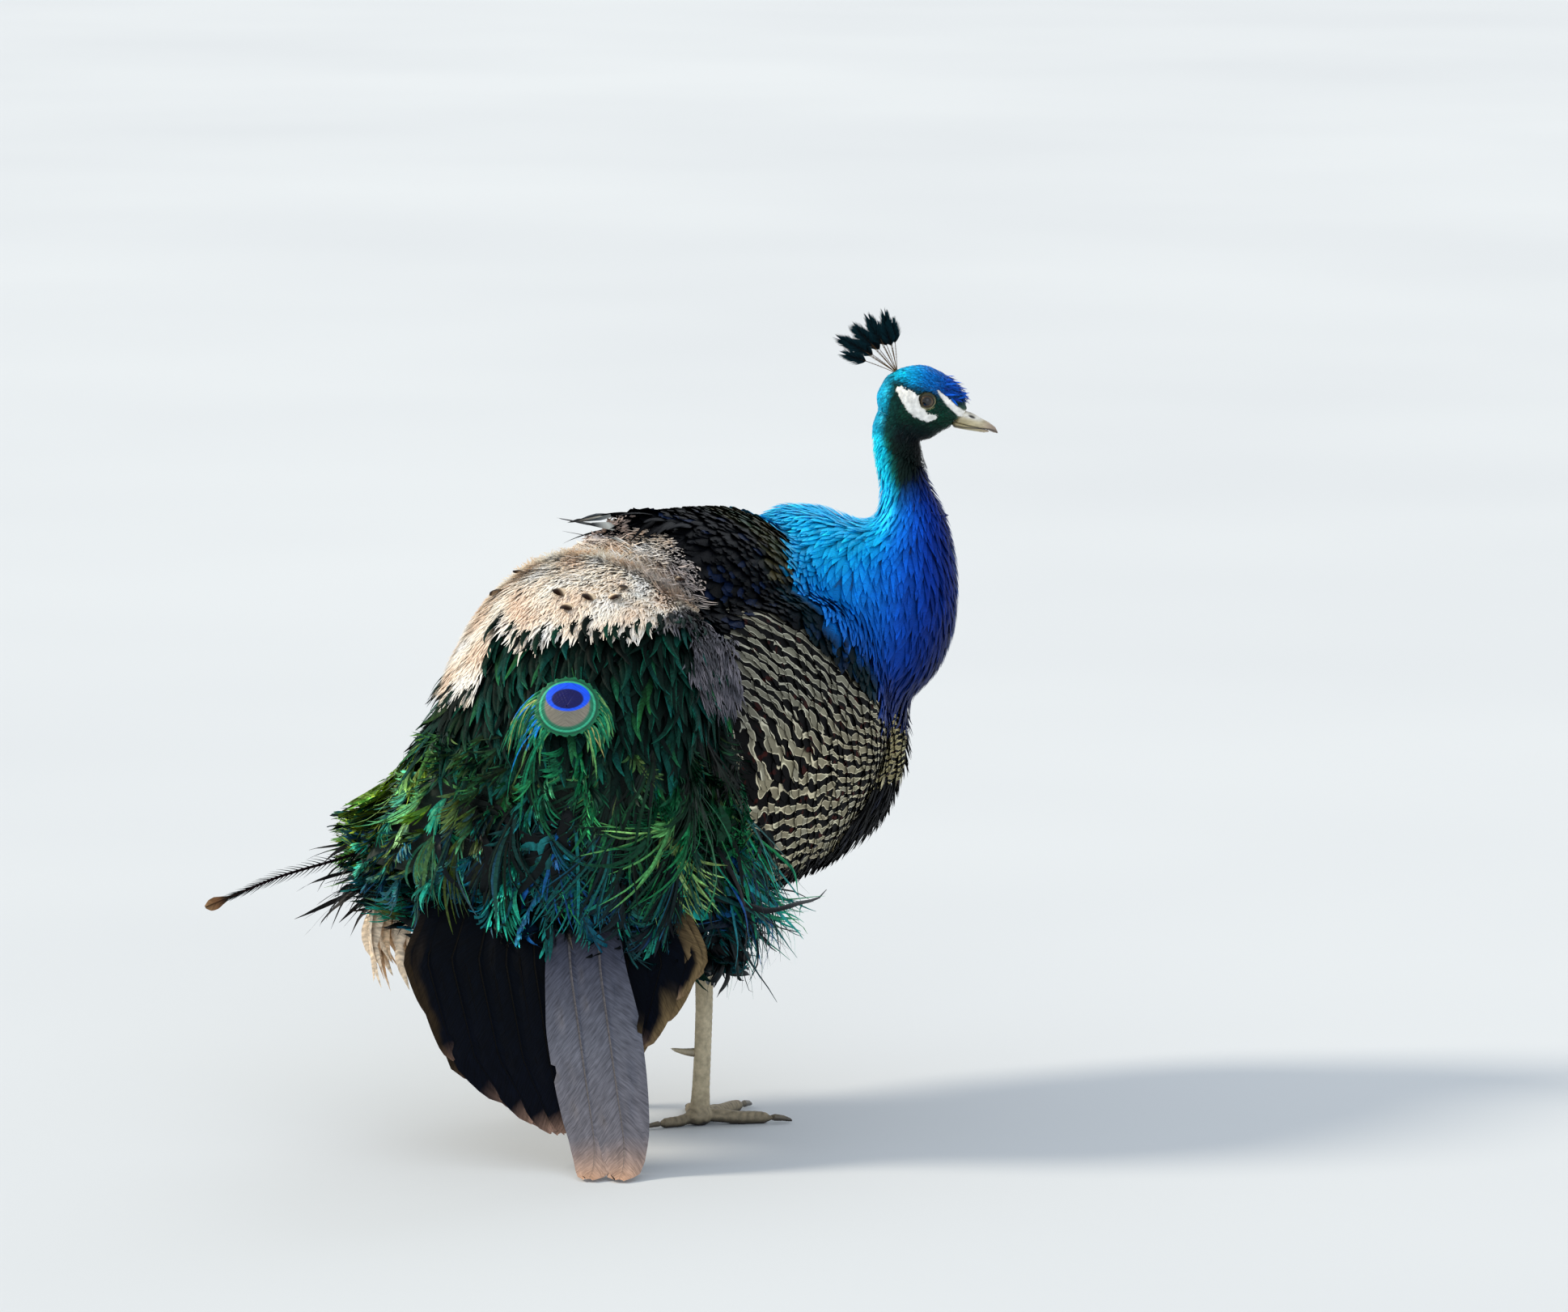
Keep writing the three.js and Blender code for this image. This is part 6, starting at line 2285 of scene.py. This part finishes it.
    def flanks(self) -> None:
        """Makes the longer strands that fall forward over each flank, outside the wing."""
        rng, many, rows = self.rng, self.flank_strips, 12
        coat = Coat("coat_train_flank", rng)
        for side in (RIGHT, LEFT):
            share = rng.random(many)
            root = np.stack([side * rng.uniform(100, 124, many), rng.uniform(42, 108, many),
                             rng.uniform(214, 318, many)], axis=1)
            tip = np.stack([side * mix(134, 120, share), mix(-62, 50, share), mix(184, 120, share**0.6)],
                           axis=1)
            tip = tip + rng.normal(0, 9, tip.shape)
            t = np.linspace(0, rng.uniform(0.5, 1.0, many), rows).T[..., None]
            early = np.concatenate([t**1.5, t**1.5, t], axis=2)
            bow = np.array([side * 24.0, 0, 0]) * rng.uniform(0.4, 1.15, (many, 1))
            spine = root[:, None] + (tip - root)[:, None] * early + bow[:, None] * (4 * t * (1 - t))
            phase = rng.random((2, many, 1, 1)) * 6
            wave = rng.normal(0, 6.5, (many, 1, 3)) * np.sin(t * 5 + phase[0])
            wave = wave + rng.normal(0, 2.4, (many, 1, 3)) * np.sin(t * 13 + phase[1])
            spine = spine + wave * t**0.7
            outward = unit(unit(np.array([side, 0.15, 0.25])) + rng.normal(0, 0.3, (many, 1, 3)))
            dyed = train_dye_and_light(spine[:, 6], rng)
            bright = shades([(0, "#0a8a8c"), (0.5, "#18b09a"), (1, "#1a8c3c")], rng.random(many))
            tips = np.where(((share < 0.4) & (rng.random(many) < 0.6))[:, None], bright, dyed * 1.2)
            width = 0.8 + 3.0 * rng.random(many) ** 2
            # Darker at the root: painted shade where the strands leave the body.
            coat.add(spine, held(outward[:, 0], rows), width, lance, ramp(dyed * 0.5, tips, rows), 3, 0.35,
                     0.6, 0.5, 0.06)
        coat.piece(Finish.HERL, "train_feather")

    def eyespots(self) -> None:
        """Makes the whole eyespot and the half-hidden ones, each in its fringe of herls."""
        rng = self.rng
        discs, fringe = Coat("eyespots", self.rng), Coat("eyespot_fringe", self.rng)
        for x, y, z, size, lift in ((-61, 196, 372, 1.0, 10.0), (128, 60, 300, 0.8, 5.0)):
            on, n = self.ground.nearest(np.array([[x, y, z]], float))
            out = unit(n[0] + [0, 0, 0.1])
            up = unit(np.array([0, 0, 1.0]) - out * out[2])
            across = np.cross(up, out)
            centre = on[0] + out * lift
            self.disc(discs, centre, across, up, out, size)
            many, rows = int(190 * size), 10
            turn = np.where(rng.random(many) < 0.5, rng.uniform(-62, 74, many), rng.uniform(106, 242, many))
            side = np.cos(np.radians(turn))
            ring = across * side[:, None] * 24 * size + up * np.sin(np.radians(turn))[:, None] * 21 * size
            drift = rng.uniform(0.5, 1.3, many) * np.where(side < 0, 1.5, 1.0)
            ways = across * (side * drift)[:, None] + unit(ring) * 0.25 + out * 0.16 + [0, 0, -0.25]
            line, faced = Fall(0.3, 0.03, 4.0, 0.0).hang(
                self.ground, centre + ring - out * 2.5, ways, rng.uniform(52, 112, many) * size**0.5, rows,
                rng
            )
            dyed = shades([(0, "#04402c"), (0.3, "#0a6c48"), (0.6, "#109468"), (0.85, "#5c9c58"),
                           (1, "#b4a868")],
                          rng.random(many))
            tints = ramp(jitter(dyed, 0.2, rng), dyed * 0.7, rows)
            tints[(side < -0.6) & (rng.random(many) < 0.2), 2:6] = dye("#0a78c4")
            fringe.add(line, faced, rng.uniform(0.45, 0.95, many), ribbon, tints, 3, 0.3)
        discs.piece(Finish.EYESPOT, "train_feather")
        fringe.piece(Finish.HERL, "train_feather")

    def disc(self, coat: Coat, centre: Array, across: Array, up: Array, out: Array, size: float) -> None:
        """Adds one eyespot: a shallow dished vane with a ragged rim.

        Args:
            coat: What it is added to.
            centre: Its middle.
            across: The way to its side.
            up: The way to its top.
            out: The way it faces.
            size: Its size, as a share of the whole one's.
        """
        rings, spokes = 16, 96
        reach = np.linspace(0.02, 1, rings)[:, None]
        turn = np.linspace(0, 2 * math.pi, spokes, endpoint=False)[None]
        rag = 1 + 0.03 * np.sin(turn * 23) * reach**4 + 0.02 * np.sin(turn * 41 + 1) * reach**4
        x, y = reach * rag * np.cos(turn) * 26.5, reach * rag * np.sin(turn) * 24
        dome = 3.4 * (1 - reach**2) + 0.12 * np.sin(np.abs(x) * 2.2 - y * 1.2)
        body = (x[..., None] * across + y[..., None] * up + dome[..., None] * out) * size
        body = body.reshape(-1, 3) + centre
        flat = np.stack([x, y, np.zeros(x.shape)], axis=-1).reshape(-1, 3)
        coat.gather(
            body, ring_quads(rings, spokes), (body.mean(0)[None], out[None], flat[None, :, :2] / 27),
            vane=flat * [1, -1, 1], tint=np.tile(dye("#0c6c45"), (len(body), 1)), bar=np.zeros(len(body)),
            spot=flat,
        )

    def loose_feather(self) -> None:
        """Makes the one long feather that trails past the hem: bare shaft, few barbs, a paddle."""
        rng = self.rng
        coat = Coat("loose_feather", rng)
        stops = np.array([(84, 156, 262), (122, 169, 249), (160, 182, 232), (214, 206, 214), (244, 224, 199),
                          (256, 231, 193), (266, 237, 188)], float)
        t = np.linspace(0, 1, 26)
        at = np.linspace(0, 1, len(stops))
        line = np.stack([np.interp(t, at, stops[:, i]) for i in range(3)], axis=1)
        line[1:-1] = (line[:-2] + 2 * line[1:-1] + line[2:]) / 4
        out = np.tile(unit(np.array([-0.5, 0.85, 0.3])), (26, 1))
        tint = shades([(0, "#06080a"), (0.6, "#1c0f14"), (0.8, "#3a2a20"), (1, "#6a5238")], t)[None]
        coat.quill(line, out, 1.5, 0.6, tint, 1.05)
        coat.barbs(line[3:19], out[3:19], 10.0, 46, ("#04080a", "#0a1c1c"), 0.5)
        paddle = np.linspace(0, 1, 9)
        blade_line = mix(line[19], line[25], paddle[:, None])
        tint = shades([(0, "#3a2a20"), (0.5, "#6a4c34"), (1, "#8a6c4c")], paddle)[None]
        coat.add(blade_line[None], out[None, :9], np.array([5.2]), leaf, tint, 7, 0.15, 0.5, 0.4)
        coat.piece(Finish.VANE, "train_feather")


# ---- tail --------------------------------------------------------------------------------


@dataclass
class Tail(Plumes):
    """The fan of tail feathers, near-black as painted shadow, closed and pressed down, with its grey middle
    pair.
    """

    side: tuple[float, float, float] = (-0.86, -0.5, 0.0)
    stations: tuple = ((0, -6, 128, 322), (0.25, -18, 160, 250), (0.55, -40, 184, 165), (0.8, -62, 200, 90),
                       (1.0, -78, 208, 34))
    feathers: tuple = (
        (-1.0, 120), (-0.94, 88), (-0.86, 74), (-0.76, 58), (-0.66, 50), (-0.56, 42), (-0.46, 38),
        (-0.36, 34),
        (-0.26, 33), (-0.15, 34), (0.15, 36), (0.28, 40), (0.4, 52), (0.52, 68), (0.64, 84), (0.76, 100),
        (0.86, 118), (0.94, 136), (1.0, 150),
    )

    def at(self, height: Array, across: Array, out: Array | float) -> Array:
        """Finds places on the fan.

        Args:
            height: Their height.
            across: How far to the fan's side.
            out: How far behind its middle sheet.
        Returns:
            The places.
        """
        z = np.array([s[3] for s in self.stations])[::-1]
        x = np.interp(height, z, np.array([s[1] for s in self.stations])[::-1])
        y = np.interp(height, z, np.array([s[2] for s in self.stations])[::-1])
        sx, sy, _ = self.side
        return np.stack([x + sx * across + sy * out, y + sy * across - sx * out, np.asarray(height, float)],
                        axis=-1)

    def build(self) -> None:
        """Makes the tail in place of its CAD node."""
        rng, rows, columns = self.rng, 30, 15
        coat = Coat("tail_fan", rng)
        left, right = [52, 98, 110, 66, 24], [34, 74, 114, 72, 26]
        t, s = np.linspace(0, 1, rows), np.linspace(-1, 1, columns)
        out = np.tile(unit(np.array([-0.5, 0.86, 0.12])), (rows, 1))
        # Painted shadow: the fan's feathers are near-black, as they hang in the shade of the train.
        dark = shades([(0, "#010204"), (0.5, "#01040a"), (1, "#030610")], t)[:, None]
        for order, (share, foot) in enumerate(self.feathers):
            height = mix(300, foot, t)
            wide = np.interp(height, [30, 90, 165, 250, 322], right if share > 0 else left)
            layer = 5.5 - 9 * abs(share) + 0.8 * (order % 2)
            line = self.at(height, share * wide, layer + 2.0 * np.sin(t * math.pi))
            near_edge = 0.35 < share < 0.8
            worn = (0.12 * np.sin(t * 23 + order) + 0.1 * np.sin(t * 51 + 2 * order))[:, None]
            rim = 0.95 * smooth(0.35, 0.7, s * np.sign(share) + worn) * (abs(share) > 0.8 or near_edge)
            rim = rim * smooth(*((0.74, 0.86) if near_edge else (0.5, 0.8)), t)[:, None]
            brown = dye("#6e5c40") if share > 0 else dye("#241c12")
            tint = mix(np.repeat(dark, columns, axis=1), brown, rim[..., None])
            tipped = smooth(0.94, 1.0, t)[:, None, None] * (0.7 if -0.7 < share < 0 else 0.3)
            tint = mix(tint, dye("#9a7c6c"), tipped) * np.exp(rng.normal(0, 0.12, (rows, columns, 1)))
            width = 19.0 if abs(share) < 0.9 else 13.0
            coat.add(line[None], out[None], np.array([width]), self.vane_outline, tint[None], columns,
                     0.1, 0.5, 0.5, 0.03)
            self.shaft(coat, line, out, ("#14120f", "#0a0908"), 1.0)
        self.middle(coat)
        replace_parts(coat.piece(Finish.VANE, "tail_feather"), "tail")

    def vane_outline(self, t: Array) -> Array:
        """Returns a tail feather's half width along its length: long and even, round at the tip."""
        return np.clip(0.3 + 1.6 * t, 0, 1) * rounded(t, 0.72, 0.285, 2.1, 0.01)

    def tapered(self, t: Array) -> Array:
        """Returns a middle feather's half width along its length: broad, then worn to a blunt point."""
        return np.clip(0.4 + 1.2 * t, 0, 1) * rounded(t, 0.52, 0.485, 2.4, 0.02)

    def shaft(self, coat: Coat, line: Array, out: Array, dyes: tuple[str, str], width: float) -> None:
        """Adds a feather's shaft.

        Args:
            coat: What it is added to.
            line: The shaft's points.
            out: The way the vane faces.
            dyes: The colours at its root and tip.
            width: Its half width at the root.
        """
        tint = ramp(dye(dyes[0])[None], dye(dyes[1])[None], len(line))
        coat.add((line + out * 0.5)[None], out[None], np.array([width]), blade, tint, 3, -0.8, 0, 0)

    def middle(self, coat: Coat) -> None:
        """Adds the long blue-grey middle pair, which reaches the floor and lies on it.

        Args:
            coat: What they are added to.
        """
        rng = self.rng
        rows = 34
        stops = ((-22, 166, 240), (-44, 192, 160), (-66, 206, 84), (-80, 212, 26), (-84, 219, 6.5),
                 (-90, 236, 3.0))
        at = np.array([0, 0.33, 0.65, 0.88, 0.94, 1.0])
        t = np.linspace(0, 1, rows)
        for order, across in enumerate((14.0, 38.0)):
            line = np.stack([np.interp(t, at, [s[i] for s in stops]) for i in range(3)], axis=1)
            for _ in range(2):
                line[1:-1] = (line[:-2] + 2 * line[1:-1] + line[2:]) / 4
            sx, sy, _ = self.side
            out = 9.0 + 2.0 * order
            line = line + np.array([sx * across - 0.5 * out, sy * across + 0.86 * out, 0])
            flat = smooth(0.86, 0.97, t)[:, None]
            facing = unit(mix(np.array([[-0.5, 0.86, 0.1]]), np.array([[0.0, 0.05, 1.0]]), flat))
            line[:, 2] = np.maximum(line[:, 2], 2.6)
            # Darker towards the root: painted shade under the hem.
            tint = shades([(0, "#1a1c24"), (0.3, "#3c3f4c"), (0.55, "#5c5e68"), (0.86, "#6c6a70"),
                           (0.93, "#9a8478"),
                           (1, "#c09a80")], t)[:, None]
            tint = np.repeat(tint, 17, axis=1) * np.exp(rng.normal(0, 0.05, (rows, 17, 1)))
            coat.add(line[None], facing[None], np.array([26.0]), self.tapered, tint[None], 17, 0.07, 1.1,
                     0.4, 0.05)
            self.shaft(coat, line, facing, ("#3c3e48", "#7c746e"), 1.1)


# ---- studio ------------------------------------------------------------------------------


SENSOR = 36.0  # the camera's sensor is this wide, in millimetres


@dataclass
class Studio:
    """A pale floor, soft daylight from the bird's far left, and the camera behind it."""

    azimuth: float = 212.0
    pitch: float = 7.9
    place: tuple[float, float, float] = (-3748.0, 5772.0, 1341.0)
    width: int = 1938
    focus: float = 10500.0

    def floor(self) -> None:
        """Makes a wide flat floor, finer near the bird."""
        grid = np.linspace(-1, 1, 61) ** 3 * 70
        x, y = np.meshgrid(grid, grid)
        points = np.stack([x, y, np.zeros(x.shape)], axis=-1).reshape(-1, 3)
        mesh = plain_mesh("studio_floor", points, grid_quads(np.arange(x.size).reshape(x.shape)))
        mesh.materials.append(Finish.FLOOR.material())
        floor = placed("studio_floor", mesh)

    def camera(self) -> None:
        """Sets the camera at the bird's right and behind, a little above it."""
        data = bpy.data.cameras.new("camera")
        data.sensor_width = SENSOR
        data.lens = SENSOR * self.focus / self.width
        data.clip_start, data.clip_end = 0.1, 60.0
        camera = placed("camera", data)
        camera.location = to_frame(self.place)
        a, e = math.radians(self.azimuth), math.radians(self.pitch)
        ahead = Vector((-math.sin(a) * math.cos(e), math.cos(a) * math.cos(e), -math.sin(e)))
        camera.rotation_mode = "QUATERNION"
        camera.rotation_quaternion = ahead.to_track_quat("-Z", "Y")
        bpy.context.scene.camera = camera

    def light(self, name: str, place: Sequence[float], spread: float, power: float, colour: str) -> None:
        """Adds one far soft lamp.

        Args:
            name: The lamp's name.
            place: Which way it stands from the bird.
            spread: How wide it looks from there, in degrees.
            power: Its power in watts on each square metre.
            colour: Its colour.
        """
        data = bpy.data.lights.new(name, "SUN")
        data.angle, data.energy, data.color = math.radians(spread), power, linear(colour)[:3]
        lamp = placed(name, data)
        lamp.location = place
        lamp.rotation_mode = "QUATERNION"
        lamp.rotation_quaternion = (Vector((0, 0, 0.3)) - Vector(place)).to_track_quat("-Z", "Y")

    def build(self) -> None:
        """Sets up the floor, the lamps, the sky and the camera."""
        self.floor()
        self.camera()
        self.light("key", (2.6, 1.9, 2.7), 14.0, 2.5, "#fff4e2")
        self.light("fill", (-2.8, 2.6, 1.9), 50.0, 0.6, "#e2ecff")
        self.light("rim", (0.4, -3.2, 2.4), 40.0, 0.5, "#eef4ff")
        world = bpy.data.worlds.new("soft sky")
        world.use_nodes = True
        sky = world.node_tree.nodes["Background"]
        sky.inputs["Color"].default_value = linear("#e6edf4")
        sky.inputs["Strength"].default_value = 0.8
        bpy.context.scene.world = world
        bpy.context.scene.view_settings.view_transform = "Standard"


def main() -> None:
    """Builds the whole bird and its studio."""
    logging.basicConfig(level=logging.INFO, format="%(name)s: %(message)s")
    Studio().build()
    skin = Skin()
    guide, head = skin.guide(), skin.head()
    skin.build(guide, head)
    Horn().build()
    for side in (RIGHT, LEFT):
        Eye().build(side)
    grown = ((HeadCoat, head), (Crest, head), (NeckCoat, guide), (BackCoat, guide), (DownCoat, guide),
             (ScaleCoat, guide))
    for seed, (kind, ground) in enumerate(grown, 11):
        kind(ground, np.random.default_rng(seed)).build()
    for side in (RIGHT, LEFT):
        WingCoat(guide, np.random.default_rng(17 + side)).build(side)
    for seed, kind in ((19, BellyCoat), (20, Train), (21, Tail)):
        kind(guide, np.random.default_rng(seed)).build()


if __name__ == "__main__":
    main()
